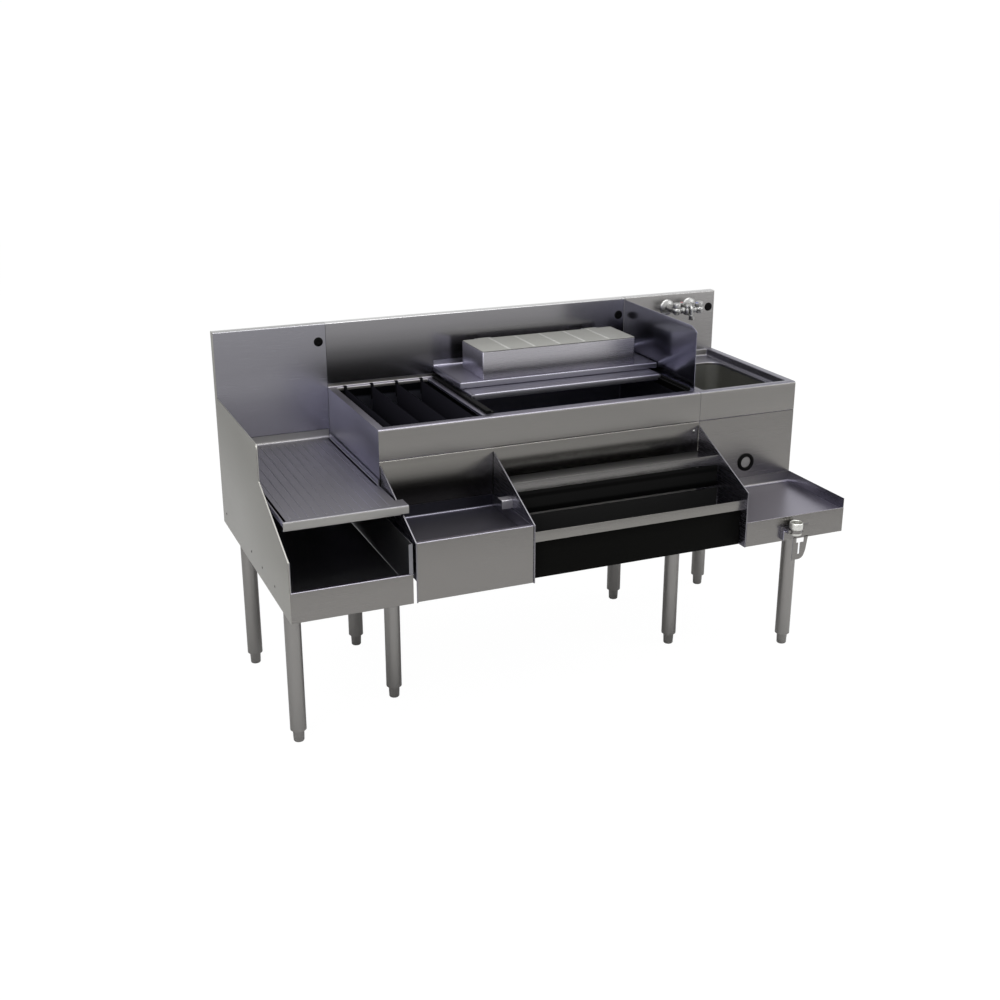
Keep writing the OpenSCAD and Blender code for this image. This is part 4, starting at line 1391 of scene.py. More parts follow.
@dataclass
class GarnishStation:
    """Fixed shelf, sliding cover, its slides, the garnish box and the splash guard.

    Attributes:
        bend: radius of the shelf's and the cover's folds.
        pan_count: number of pans in the box.
        wall: thickness of the box's walls.
        hinge_w: length of a hinge's pin.
        hinge_gap: from each end of the box to its hinge.
        barrel_w: length of a hinge's barrel.
    """

    bend: float = 2.5
    pan_count: int = 6
    wall: float = 3.0
    hinge_w: float = 50.0
    hinge_gap: float = 40.0
    barrel_w: float = 36.0

    def build(self) -> None:
        """Builds the station's pieces."""
        self.shelf()
        self.slides()
        self.cover()
        self.box()
        self.pans()
        self.lid()
        self.guard()

    def shelf(self) -> None:
        """Fixed shelf with hems at the front and sides."""
        box = SITE.span("garnish_shelf")
        top = SITE.span("tray_box").z0 - HALF
        low = box.z0 + HALF
        shape = Shape()
        path = (
            (box.y0 + 12, low, 0.0), (box.y0 + HALF, low, 1.2), (box.y0 + HALF, top, self.bend),
            (box.y1 - HALF, top, 6.0), (box.y1 - HALF, box.z1, 0.0),
        )
        shape.fold(path, Axis.X, box.x0 + 1.2, box.x1 - 1.2)
        for edge, way in ((box.x0, 1.0), (box.x1, -1.0)):
            hem = (
                (edge + way * 9, low, 0.0), (edge + way * HALF, low, 1.2),
                (edge + way * HALF, top, self.bend), (edge + way * 5, top, 0.0),
            )
            shape.fold(hem, Axis.Y, box.y0 + 1.4, box.y1 - 1)
        shape.finish("garnish_shelf_sheet", STEEL_SHELF, node="garnish_shelf")

    def slides(self) -> None:
        """Black slides at both sides of the bin's opening."""
        box = SITE.span("cover_guides")
        opening = CentreModule().openings()["bin"]
        rim = SITE.span("sink_deck").z1
        shape = Shape()
        shape.block((box.x0, opening[0], box.y0, box.y1, rim, rim + 3), 0.6)
        shape.block((box.x0, box.x0 + 14, box.y0, box.y1, rim + 2.8, rim + 8), 1.0)
        right = (opening[1] - 18, opening[1], box.y0 + 1, box.y1 - 1)
        shape.block((*right, rim, rim + 3), 0.6)
        shape.block((opening[1] - 10, opening[1], *right[2:], rim + 2.8, rim + 8), 1.0)
        shape.block((opening[1] - 3, opening[1], *right[2:], box.z0, rim + 1), 0.5)
        shape.finish("cover_slide_strips", BLACK, node="cover_guides")

    def cover(self) -> None:
        """Sliding cover with hems all round."""
        box = SITE.span("sliding_cover")
        top = box.z1 - HALF
        side_low = SITE.span("sink_deck").z1 + 3.6
        shape = Shape()
        path = (
            (box.y0 + 11, box.z0 + HALF, 0.0), (box.y0 + HALF, box.z0 + HALF, 1.2),
            (box.y0 + HALF, top, self.bend), (box.y1, top, 0.0),
        )
        shape.fold(path, Axis.X, box.x0 + 9, box.x1 - 8)
        for edge, way, reach in ((box.x0, 1.0, 9.2), (box.x1, -1.0, 8.2)):
            hem = (
                (edge + way * HALF, side_low, 0.0), (edge + way * HALF, top, self.bend),
                (edge + way * reach, top, 0.0),
            )
            shape.fold(hem, Axis.Y, box.y0 + 0.3, box.y1)
        for x0, x1 in ((box.x0 + 0.3, box.x0 + 9.2), (box.x1 - 8.2, box.x1 - 0.3)):
            shape.block((x0, x1, box.y0, box.y0 + SHEET, side_low, box.z1 - 1), 0.4)
        shape.finish("cover_sheet", STEEL_COVER, Body.COVER, "sliding_cover")

    def box_sides(self) -> Span:
        """Outside of the garnish box without its hinge ears.

        Returns:
            The box.
        """
        box = SITE.span("tray_box")
        pans = SITE.span("tray_pans")
        return Span(box.x0, box.x1, box.y0, pans.y1 + 4, box.z0, pans.z1 + 1)

    def shell(self, shape: Shape, box: Span, wall: float, corner: float) -> None:
        """Closed open-topped shell with softened rims.

        Args:
            shape: the shape that it is added to.
            box: its outside.
            wall: its wall thickness.
            corner: radius of its upright corners.
        """
        steps = (
            (1.2, box.z0), (0.3, box.z0 + 0.4), (0.0, box.z0 + 1.4), (0.0, box.z1 - 0.8),
            (0.5, box.z1), (wall - 0.5, box.z1), (wall, box.z1 - 0.8), (wall, box.z0 + wall + 2.5),
            (wall + 0.7, box.z0 + wall + 0.8), (wall + 2.5, box.z0 + wall),
        )
        loops = [
            round_loop(box.x0 + s, box.x1 - s, box.y0 + s, box.y1 - s, max(corner - s, 0.6), z)
            for s, z in steps
        ]
        rings = shape.skin(loops, close=True)
        bmesh.ops.contextual_create(shape.mesh, geom=rings[0])

    def box(self) -> None:
        """Garnish box with its hinge ears and pins."""
        whole = SITE.span("tray_box")
        box = self.box_sides()
        shape = Shape()
        self.shell(shape, box, self.wall, 4.0)
        for x in self.hinge_xs():
            for ear in (x, x + self.hinge_w - 6):
                shape.block((ear, ear + 6, box.y1 - 1, whole.y1, box.z1 - 12, whole.z1), 1.0)
            pin = ((0.0, 0.0), (1.5, 0.0), (1.5, self.hinge_w), (0.0, self.hinge_w))
            shape.lathe(pin, (x, whole.y1 - 5, box.z1 - 1), Axis.X, 16)
        shape.finish("garnish_box", STEEL_BOX, node="tray_box")

    def hinge_xs(self) -> tuple[float, float]:
        """Left ends of the two hinges."""
        box = SITE.span("tray_box")
        return box.x0 + self.hinge_gap, box.x1 - self.hinge_gap - self.hinge_w

    def pans(self) -> None:
        """Plastic pans side by side in the box."""
        box = SITE.span("tray_pans")
        pitch = (box.x1 - box.x0 + 2) / self.pan_count
        shape = Shape()
        for index in range(self.pan_count):
            x = box.x0 - 1 + pitch * index
            pan = Span(x + 1, x + pitch - 1, box.y0, box.y1, box.z0, box.z1)
            self.shell(shape, pan, 2.0, 5.0)
        shape.finish("garnish_pans", PAN, node="tray_pans")

    def lid(self) -> None:
        """Pale lid with ribs over the pans' walls and two hinge barrels."""
        box = SITE.span("tray_lid")
        sides = self.box_sides()
        pans = SITE.span("tray_pans")
        pitch = (pans.x1 - pans.x0 + 2) / self.pan_count
        bottom = sides.z1 + 0.5
        back = sides.y1 - 3
        shape = Shape()
        steps = (
            (0.8, bottom), (0.0, bottom + 0.8), (0.0, box.z1 - 1.6), (0.4, box.z1 - 0.9),
            (1.2, box.z1 - 0.6),
        )
        loops = [round_loop(box.x0 + s, box.x1 - s, box.y0 + s, back - s, 4.0, z) for s, z in steps]
        rings = shape.skin(loops, close=True)
        bmesh.ops.contextual_create(shape.mesh, geom=rings[0])
        long = self.barrel_w
        barrel = (
            (1.6, 0.0), (3.2, 0.0), (3.5, 0.4), (3.5, long - 0.4), (3.2, long), (1.6, long), (1.6, 0.0),
        )
        for x in self.hinge_xs():
            start = x + (self.hinge_w - long) / 2
            shape.lathe(barrel, (start, box.y1 - 3.5, sides.z1 - 1), Axis.X, 24)
            shape.block((start, start + long, back - 1, box.y1 - 3.5, bottom, bottom + 2), 0.4)
        shape.finish("garnish_lid", LID, Body.LID, "tray_lid")
        # The ribs are painted lighter, as highlights.
        ribs = Shape()
        for index in range(1, self.pan_count):
            x = pans.x0 - 1 + pitch * index
            ribs.block((x - 3.5, x + 3.5, box.y0 + 5, back - 5, box.z1 - 1.2, box.z1), 0.5)
        ribs.finish("garnish_lid_ribs", LID_RIB, Body.LID)

    def guard(self) -> None:
        """Polished splash guard with a cut front corner and a foot flange."""
        box = SITE.span("splash_guard")
        corners = (
            (box.y0, box.z0, 0.0), (box.y0, box.z1 - 12, 8.0), (box.y0 + 30, box.z1, 10.0),
            (box.y1, box.z1, 0.0), (box.y1, box.z0, 0.0),
        )
        shape = Shape()
        shape.prism(bent_path(corners, 6), Axis.X, box.x1 - SHEET, box.x1, 0.35, 2)
        foot = (
            (box.x0, box.z0 + HALF, 0.0), (box.x1 - HALF, box.z0 + HALF, 1.5),
            (box.x1 - HALF, box.z0 + 9, 0.0),
        )
        shape.fold(foot, Axis.Y, box.y0 + 2, box.y1 - 3, SHEET * 0.9)
        shape.finish("splash_guard_plate", POLISHED, node="splash_guard")


@dataclass
class SinkModule:
    """Right module: recessed deck, bowl, waste, panels, hose ring and lower shelf.

    Attributes:
        corner: radius of the bowl's upright corners.
        cove: radius between the bowl's walls and floor.
        lip: radius of the rolled edges.
        flange: from the bowl's box to its opening.
        recess_bend: radius of the corners and coves of the deck's recess.
        tail_r: radius of the waste's tailpiece.
        pipe_top: height where the tailpiece widens.
        hose_r: radius of the hole for the hose ring.
        shelf_h: from the lower shelf's bottom to its floor.
        shelf_lip_h: from the lower shelf's bottom to its fascia's top.
    """

    corner: float = 40.0
    cove: float = 24.0
    lip: float = 3.0
    flange: float = 9.0
    recess_bend: float = 6.0
    tail_r: float = 19.05
    pipe_top: float = 434.0
    hose_r: float = 22.0
    shelf_h: float = 64.0
    shelf_lip_h: float = 69.0

    def build(self) -> None:
        """Builds the module's pieces."""
        self.deck()
        self.bowl()
        self.waste()
        self.basket()
        self.panels()
        self.hose_ring()
        self.shelf()
        dress_node("sink_frame", STEEL)

    def bowl_sides(self) -> tuple[float, float, float, float]:
        """Sides of the bowl, from its node's flange.

        Returns:
            x0, x1, y0, y1 of the bowl.
        """
        box = SITE.span("sink_bowl")
        edge = self.flange
        return box.x0 + edge, box.x1 - edge, box.y0 + edge, box.y1 - edge

    def deck(self) -> None:
        """Recessed deck with a raised rim, the bowl's rolled edge and the apron."""
        box = SITE.span("sink_deck")
        recess = SITE.span("sink_bowl").z1 + SHEET
        shape = Shape()
        outer = shape.loop(rectangle((box.x0, box.x1, box.y0 + 6, box.y1 - 0.2), box.z1))
        well = (box.x0 + 18.5, box.x1 - 19, box.y0 + 22, box.y1 - 6, recess, box.z1)
        walls = shape.skin(liner_loops(well, self.recess_bend, self.lip, self.recess_bend))
        shape.plate([outer, walls[0]])
        sides = self.bowl_sides()
        loops = rolled_edge(sides, self.corner, self.lip, recess)
        loops.append(round_loop(*sides, self.corner, recess - 8))
        edge = shape.skin(loops)
        shape.plate([walls[-1], edge[0]])
        shape.thicken(SHEET, Vector((box.mid_x, box.mid_y, box.z1 + 500)))
        shape.fold(apron_path(box.y0, box.z0, box.z1), Axis.X, box.x0, box.x1)
        shape.finish("sink_deck_sheet", STEEL_SINK, node="sink_deck")

    def bowl(self) -> None:
        """Bowl with rounded corners, a coved floor and a dished waste."""
        box = SITE.span("sink_bowl")
        x0, x1, y0, y1 = self.bowl_sides()
        grow = SHEET + 0.1
        floor = box.z0 + SHEET
        opening = (x0 - grow, x1 + grow, y0 - grow, y1 + grow, floor + 2.5, box.z1 - 6)
        loops = liner_loops(opening, self.corner + grow, 0.0, self.cove)
        mid_x, mid_y = (x0 + x1) / 2, (y0 + y1) / 2
        loops.append(circle_loop(mid_x, mid_y, 50.0, floor + 1.5))
        loops.append(circle_loop(mid_x, mid_y, 44.0, floor + 0.2))
        loops.append(circle_loop(mid_x, mid_y, 31.0, floor))
        shape = Shape()
        shape.skin(loops)
        shape.thicken(SHEET, Vector((mid_x, mid_y, floor + 150)))
        shape.finish("sink_bowl_sheet", STEEL_BOWL, node="sink_bowl")

    def waste(self) -> None:
        """Waste fitting from the bowl's floor to the tailpiece."""
        box = SITE.span("sink_drain")
        tail = self.tail_r
        top = box.z1
        outline = (
            (27.0, top - 0.6), (28.5, top), (41.5, top), (42.9, top - 0.6), (42.9, top - 1.5),
            (30.5, top - 1.5), (30.5, top - 3.0), (38.0, top - 3.0), (38.0, top - 13.5),
            (30.5, top - 13.5), (30.5, top - 27.0), (tail + 4.5, top - 27.5), (tail + 4.5, top - 44.0),
            (tail + 1.5, top - 44.0), (tail + 1.5, self.pipe_top), (tail, self.pipe_top), (tail, box.z0),
            (tail - 2.5, box.z0), (tail - 2.5, top - 23.5), (27.0, top - 23.5), (27.0, top - 0.6),
        )
        shape = Shape()
        shape.lathe(outline, (box.mid_x, box.mid_y, 0.0), Axis.Z, 48)
        shape.finish("sink_waste", CHROME, node="sink_drain")

    def basket(self) -> None:
        """Strainer cup with a pierced floor and a knob."""
        box = SITE.span("drain_basket")
        mid = (box.mid_x, box.mid_y)
        shape = Shape()
        wall = (
            (25.6, box.z0), (26.0, box.z0 + 0.6), (26.0, box.z0 + 23.4), (25.6, box.z0 + 24.2),
            (24.9, box.z0 + 24.2), (24.5, box.z0 + 23.4), (24.5, box.z0), (25.6, box.z0),
        )
        shape.lathe(wall, (*mid, 0.0), Axis.Z, 40)
        knob = (
            (0.0, box.z0), (3.0, box.z0), (3.0, box.z1 - 4.5), (6.2, box.z1 - 4.0),
            (7.0, box.z1 - 2.6), (6.4, box.z1 - 0.8), (4.0, box.z1), (0.0, box.z1),
        )
        shape.lathe(knob, (*mid, 0.0), Axis.Z, 28)
        sieve = Shape()
        level = box.z0 + 1.5
        rings = [sieve.loop(circle_loop(*mid, 24.8, level)), sieve.loop(circle_loop(*mid, 2.8, level, 12))]
        for reach, count in ((9.0, 6), (17.0, 12)):
            for index in range(count):
                turn = 2 * math.pi * index / count
                at = (mid[0] + reach * math.cos(turn), mid[1] + reach * math.sin(turn))
                rings.append(sieve.loop(circle_loop(*at, 2.3, level, 10)))
        sieve.plate(rings)
        sieve.thicken(1.2, Vector((*mid, box.z0 + 60)))
        shape.finish("basket_cup", CHROME, Body.BASKET, "drain_basket")
        sieve.finish("basket_sieve", CHROME, Body.BASKET)

    def panels(self) -> None:
        """Panel under the apron, with the hose hole, and the right wall."""
        box = SITE.span("sink_front_panel")
        ring = SITE.span("hose_grommet")
        shape = Shape()
        corners = ((box.x0, box.z0), (box.x1, box.z0), (box.x1, box.z1), (box.x0, box.z1))
        outer = shape.loop([Vector((x, box.y0, z)) for x, z in corners])
        circle = circle_loop(ring.mid_x, ring.mid_z, self.hose_r, 0.0, 40)
        hole = [Vector((p.x, box.y0, p.y)) for p in circle]
        shape.plate([outer, shape.loop(hole)])
        shape.thicken(SHEET, Vector((box.mid_x, box.y0 - 300, box.mid_z)))
        flange = ((box.y0 + 0.9, box.z1 - 0.8, 0.0), (box.y0 + 10, box.z1 - 0.8, 0.0))
        shape.fold(flange, Axis.X, box.x0, box.x1)
        shape.finish("sink_panel", STEEL, node="sink_front_panel")
        box = SITE.span("sink_side_right")
        wall = Shape()
        wall.block(astuple(box), 0.4)
        wall.finish("sink_wall_right", STEEL_SIDE, node="sink_side_right")

    def hose_ring(self) -> None:
        """Black ring with rounded flanges and the grey disc that closes it."""
        box = SITE.span("hose_grommet")
        deep = (box.y1 - box.y0) / 2
        outer = (box.z1 - box.z0) / 2
        outline = (
            (16.0, -deep + 1.2), (17.2, -deep), (outer - 2.0, -deep), (outer - 0.5, -deep + 0.8),
            (outer, -deep + 2.2), (outer, -0.8), (21.7, -0.8), (21.7, 0.8), (outer, 0.8),
            (outer, deep - 2.2), (outer - 0.5, deep - 0.8), (outer - 2.0, deep), (17.2, deep),
            (16.0, deep - 1.2), (16.0, -deep + 1.2),
        )
        shape = Shape()
        shape.lathe(outline, (box.mid_x, box.mid_y, box.mid_z), Axis.Y, 48)
        shape.finish("hose_ring", BLACK, node="hose_grommet")
        disc = Shape()
        skin = ((0.0, 1.2), (15.6, 1.2), (16.1, 0.6), (16.1, -0.2), (0.0, -0.2))
        disc.lathe(skin, (box.mid_x, box.mid_y, box.mid_z), Axis.Y, 40, flip=True)
        # The disc takes the lighter side copy of the steel, painted light.
        disc.finish("hose_ring_disc", STEEL_SIDE)

    def shelf(self) -> None:
        """Lower shelf with a fascia, a coved back upturn and a right rim."""
        box = SITE.span("lower_shelf")
        floor = box.z0 + self.shelf_h - HALF
        lip = box.z0 + self.shelf_lip_h
        shape = Shape()
        tray = ((box.y0 + 1.6, floor, 0.0), (box.y1 - HALF, floor, 8.0), (box.y1 - HALF, box.z1, 0.0))
        shape.fold(tray, Axis.X, box.x0, box.x1 - 0.2)
        shape.finish("lower_shelf_floor", STEEL_TOP, node="lower_shelf")
        face = Shape()
        fascia = (
            (box.y0 + 2.4, lip - 5, 0.0), (box.y0 + 2.4, lip - HALF, 0.8),
            (box.y0 + HALF, lip - HALF, 0.8), (box.y0 + HALF, box.z0 + HALF, 2.0),
            (box.y0 + 14, box.z0 + HALF, 0.0),
        )
        face.fold(fascia, Axis.X, box.x0, box.x1)
        face.block((box.x1 - SHEET, box.x1, box.y0 + 0.4, box.y1, box.z0, box.z1), 0.4)
        face.finish("lower_shelf_fascia", STEEL)


@dataclass
class WallFaucet:
    """Wall faucet with two lever handles and a swivelling spout.

    Attributes:
        centres: distance between the two inlets.
        flange_r: radius of the wall flanges.
        inlet_r: radius of the inlets.
        neck_r: radius of the tubes beside the valves.
        boss_r: radius of the boss under the spout.
        spout_r: radius of the spout's tube.
        reach: how far the spout comes forward.
        lever_w: half width of a lever's end.
        lever_len: from the hub's middle to the middle of the lever's end.
        x: middle of the faucet, set when it is built.
        y: axis of the valves, set when it is built.
        z: axis of the cross tube, set when it is built.
        wall: front of the backsplash, set when it is built.
        shank_back: back end of the inlets, set when it is built.
    """

    centres: float = 76.0
    flange_r: float = 24.0
    inlet_r: float = 11.0
    neck_r: float = 7.8
    boss_r: float = 13.0
    spout_r: float = 5.5
    reach: float = 22.0
    lever_w: float = 5.8
    lever_len: float = 30.0
    x: float = field(init=False)
    y: float = field(init=False)
    z: float = field(init=False)
    wall: float = field(init=False)
    shank_back: float = field(init=False)

    def build(self) -> None:
        """Builds the faucet's pieces."""
        body = SITE.span("faucet_body")
        spout = SITE.span("faucet_spout")
        self.x = spout.mid_x
        self.y = spout.y1 - 12.5
        self.z = spout.z0 + 26
        self.wall = SITE.span("backsplash_right").y0
        self.shank_back = body.y1
        self.body()
        self.spout()
        self.handles()
        dress_node("faucet_nuts", BRASS)

    def body(self) -> None:
        """Inlets with flanges, cross tube, boss and bonnets."""
        shape = Shape()
        x, y, z, wall = self.x, self.y, self.z, self.wall
        near = wall - y
        end = -(self.shank_back - wall)
        for side in (-1, 1):
            at = (x + side * self.centres / 2, wall, z)
            line = (
                
                (0.0, near), (self.neck_r, near), (self.neck_r, near - 13.6), (self.inlet_r, near - 14.6),
                (self.inlet_r, 8.6), (self.flange_r - 5, 5.2), (self.flange_r - 1.2, 3.2),
                (self.flange_r, 1.4), (self.flange_r, 0.0), (11.0, 0.0), (11.0, -10.8),
                (10.2, -11.4), (10.2, end), (0.0, end),
            )
            shape.lathe(line, at, Axis.Y, 40, flip=True)
            bonnet = (
                (0.0, -14.0), (6.0, -12.6), (10.6, -9.0), (13.3, -4.0), (13.9, 0.0), (13.2, 4.2),
                (11.7, 7.2), (10.8, 8.0), (5.0, 8.0), (5.0, 14.8), (0.0, 15.0),
            )
            shape.lathe(bonnet, (at[0], y, z), Axis.Z, 40)
        mid = self.centres / 2
        tube = (
            (0.0, 0.0), (self.neck_r, 0.0), (self.neck_r, 13.6), (9.2, 14.2), (9.9, 15.0),
            (9.9, mid - 15.4), (9.2, mid - 14.7), (5.9, mid - 14.5), (5.9, mid + 14.5),
            (9.2, mid + 14.7),
            (9.9, mid + 15.4), (9.9, self.centres - 15.0), (9.2, self.centres - 14.2),
            (self.neck_r, self.centres - 13.6), (self.neck_r, self.centres), (0.0, self.centres),
        )
        shape.lathe(tube, (x - self.centres / 2, y, z), Axis.X, 40)
        r = self.boss_r
        boss = (
            (0.0, -15.0), (r - 4, -15.0), (r - 1, -13.8), (r, -11.6), (r, 4.8), (r - 0.4, 5.6),
            (r - 1.4, 6.0), (0.0, 6.0),
        )
        shape.lathe(boss, (x, y, z), Axis.Z, 40)
        shape.finish("faucet_body_casting", CHROME, node="faucet_body")

    def spout(self) -> None:
        """Collar, bent tube and aerator."""
        shape = Shape()
        x, y, z = self.x, self.y, self.z
        collar = (
            (0.0, 6.5), (11.6, 6.5), (12.4, 7.2), (12.4, 12.4), (11.8, 14.4), (9.6, 15.8), (6.0, 16.4),
            (0.0, 16.5),
        )
        shape.lathe(collar, (x, y, z), Axis.Z, 40)
        bend = 8.0
        height = 11.6
        path = [Vector((x, y - 4, z + height))]
        for turn in (math.pi / 2 * step / 8 for step in range(9)):
            out = self.reach - bend + bend * math.sin(turn)
            path.append(Vector((x, y - out, z + height - bend + bend * math.cos(turn))))
        path.append(Vector((x, y - self.reach, z - 20)))
        shape.pipe(path, self.spout_r, 28)
        tip = (
            (5.0, -26.0), (7.6, -26.0), (8.0, -25.4), (8.0, -13.0), (7.0, -12.2), (5.2, -12.0),
            (5.0, -14.0), (5.0, -26.0),
        )
        shape.lathe(tip, (x, y - self.reach, z), Axis.Z, 36)
        shape.finish("faucet_spout_tube", CHROME, Body.SPOUT, "faucet_spout")

    def handles(self) -> None:
        """Two lever handles with coloured indexes."""
        hot = (Body.HOT, "hot_handle", RED, -1, -75.0, 19.0)
        cold = (Body.COLD, "cold_handle", BLUE, 1, 135.0, 28.0)
        for body, node, index, side, angle, out in (hot, cold):
            at = Vector((self.x + side * self.centres / 2, self.y, self.z))
            way = math.radians(angle)
            shape = Shape()
            hub = (
                (5.4, 8.6), (11.8, 8.6), (12.4, 9.4), (12.4, 17.0), (11.6, 20.4), (9.4, 22.3), (5.0, 23.0),
                (0.0, 23.0), (0.0, 15.3), (5.4, 15.3), (5.4, 8.6),
            )
            shape.lathe(hub, at, Axis.Z, 40)
            self.lever(shape, at, way)
            shape.finish(f"{node}_lever", CHROME, body, node)
            spot = at + Vector((-math.sin(way) * out, math.cos(way) * out, 0.0))
            disc = Shape()
            disc.lathe(((0.0, 21.6), (4.4, 21.6), (4.4, 22.6), (3.8, 23.0), (0.0, 23.0)), spot, Axis.Z, 28)
            disc.finish(f"{node}_index", index, body)

    def lever(self, shape: Shape, at: Vector, angle: float) -> None:
        """Flat lever with a rounded end.

        Args:
            shape: the shape that it is added to.
            at: middle of the valve.
            angle: turn from the back towards the left, in radians.
        """
        w, far = self.lever_w, self.lever_len
        outline = [Vector((-w + 1.6, 9.0)), Vector((w - 1.6, 9.0)), Vector((w, far - 1))]
        turns = [math.pi * step / 10 for step in range(11)]
        outline += [Vector((w * math.cos(t), far + w * math.sin(t))) for t in turns]
        outline.append(Vector((-w, far - 1)))
        turned = [
            Vector((
                at.x + p.x * math.cos(angle) - p.y * math.sin(angle),
                at.y + p.x * math.sin(angle) + p.y * math.cos(angle),
            ))
            for p in outline
        ]
        shape.prism(turned, Axis.Z, at.z + 18.6, at.z + 22.2, 0.9, 3)


@dataclass
class GunStation:
    """Sheet holder on the lower shelf's fascia and the cup in it.

    Attributes:
        plate: thickness of the holder's sheet.
        cup_hole: radius of the hole for the cup.
        ring_zs: heights of the ring's lower and upper side.
        ring_xs: its left and right side, from the holder's left side.
        hook: outline of the hook plate, as x and z.
        slot_top: x0, x1, z0, z1 of the slot's bar.
        slot_drop: x0, x1 and the lower end of its stem.
    """

    plate: float = 1.5
    cup_hole: float = 15.55
    ring_zs: tuple[float, float] = (436.2, 445.8)
    ring_xs: tuple[float, float] = (6.0, 56.0)
    hook: tuple[tuple[float, float], ...] = (
        (1368.0, 412.0), (1368.0, 346.0), (1388.0, 346.0), (1393.0, 346.6), (1398.0, 348.7),
        (1402.0, 352.0), (1405.0, 357.0), (1408.0, 365.0), (1410.0, 372.0), (1415.0, 406.0),
        (1415.0, 412.0),
    )
    slot_top: tuple[float, float, float, float] = (1376.0, 1403.0, 394.0, 410.5)
    slot_drop: tuple[float, float, float] = (1385.5, 1391.5, 361.0)

    def build(self) -> None:
        """Builds the holder and the cup."""
        self.holder()
        self.hook_plate()
        self.cup()

    def holder(self) -> None:
        """Holder with a side wing and a ring for the cup."""
        box = SITE.span("gun_holder")
        cup = SITE.span("gun_cup")
        face = SITE.span("lower_shelf").y0
        front = face - self.plate
        shape = Shape()
        shape.block((box.x0, box.x1, front, face, 411.5, box.z1), 0.5)
        shape.block((box.x0, box.x0 + 17, face - 15, face, 412.5, 440), 3.0, 4)
        rings = []
        sides = (box.x0 + self.ring_xs[0], box.x0 + self.ring_xs[1], box.y0, face)
        for z in self.ring_zs:
            outer = shape.loop(rectangle(sides, z))
            inner = shape.loop(circle_loop(cup.mid_x, cup.mid_y, self.cup_hole, z, 32))
            rings.append((outer, inner))
        self.ring(shape, rings)
        shape.finish("gun_holder_sheet", STEEL, node="gun_holder")

    def hook_plate(self) -> None:
        """Hanging plate with a T-shaped slot and a rounded foot."""
        face = SITE.span("lower_shelf").y0
        x0, x1, low, top = self.slot_top
        d0, d1, foot = self.slot_drop
        shape = Shape()
        outer = [Vector((x, face, z)) for x, z in self.hook]
        slot = ((x0, low), (d0, low), (d0, foot), (d1, foot), (d1, low), (x1, low), (x1, top), (x0, top))
        rings = [shape.loop(outer), shape.loop([Vector((x, face, z)) for x, z in slot])]
        shape.plate(rings)
        shape.thicken(self.plate, Vector((x0, face - 300, low)))
        shape.finish("gun_holder_hook", STEEL)

    def ring(self, shape: Shape, rings: list) -> None:
        """Closed block with a round hole between two pairs of edge rings.

        Args:
            shape: the shape that they lie in.
            rings: outer and inner edges of the lower and of the upper side.
        """
        for outer, inner in rings:
            shape.plate([outer, inner])
        for index in range(2):
            edges = list(rings[0][index]) + list(rings[1][index])
            bmesh.ops.bridge_loops(shape.mesh, edges=edges)

    def cup(self) -> None:
        """Pale cup with a rounded shoulder and rim."""
        box = SITE.span("gun_cup")
        low, top = box.z0, box.z1
        r = (box.x1 - box.x0) / 2
        outline = (
            (0.0, low), (13.4, low), (14.6, low + 0.6), (14.9, low + 1.6), (14.9, low + 15.5),
            (16.4, low + 15.9), (r - 0.4, low + 17.4), (r, low + 20.0), (r, top - 4.0),
            (r - 0.4, top - 2.0), (r - 1.1, top - 0.7), (r - 2.2, top), (r - 3.2, top - 0.8),
            (r - 3.5, top - 2.4), (r - 3.5, low + 21.0), (13.4, low + 16.0), (13.4, low + 3.4),
            (12.0, low + 2.2), (0.0, low + 2.0),
        )
        shape = Shape()
        shape.lathe(outline, (box.mid_x, box.mid_y, 0.0), Axis.Z, 48)
        shape.finish("gun_cup_body", CUP, Body.CUP, "gun_cup")


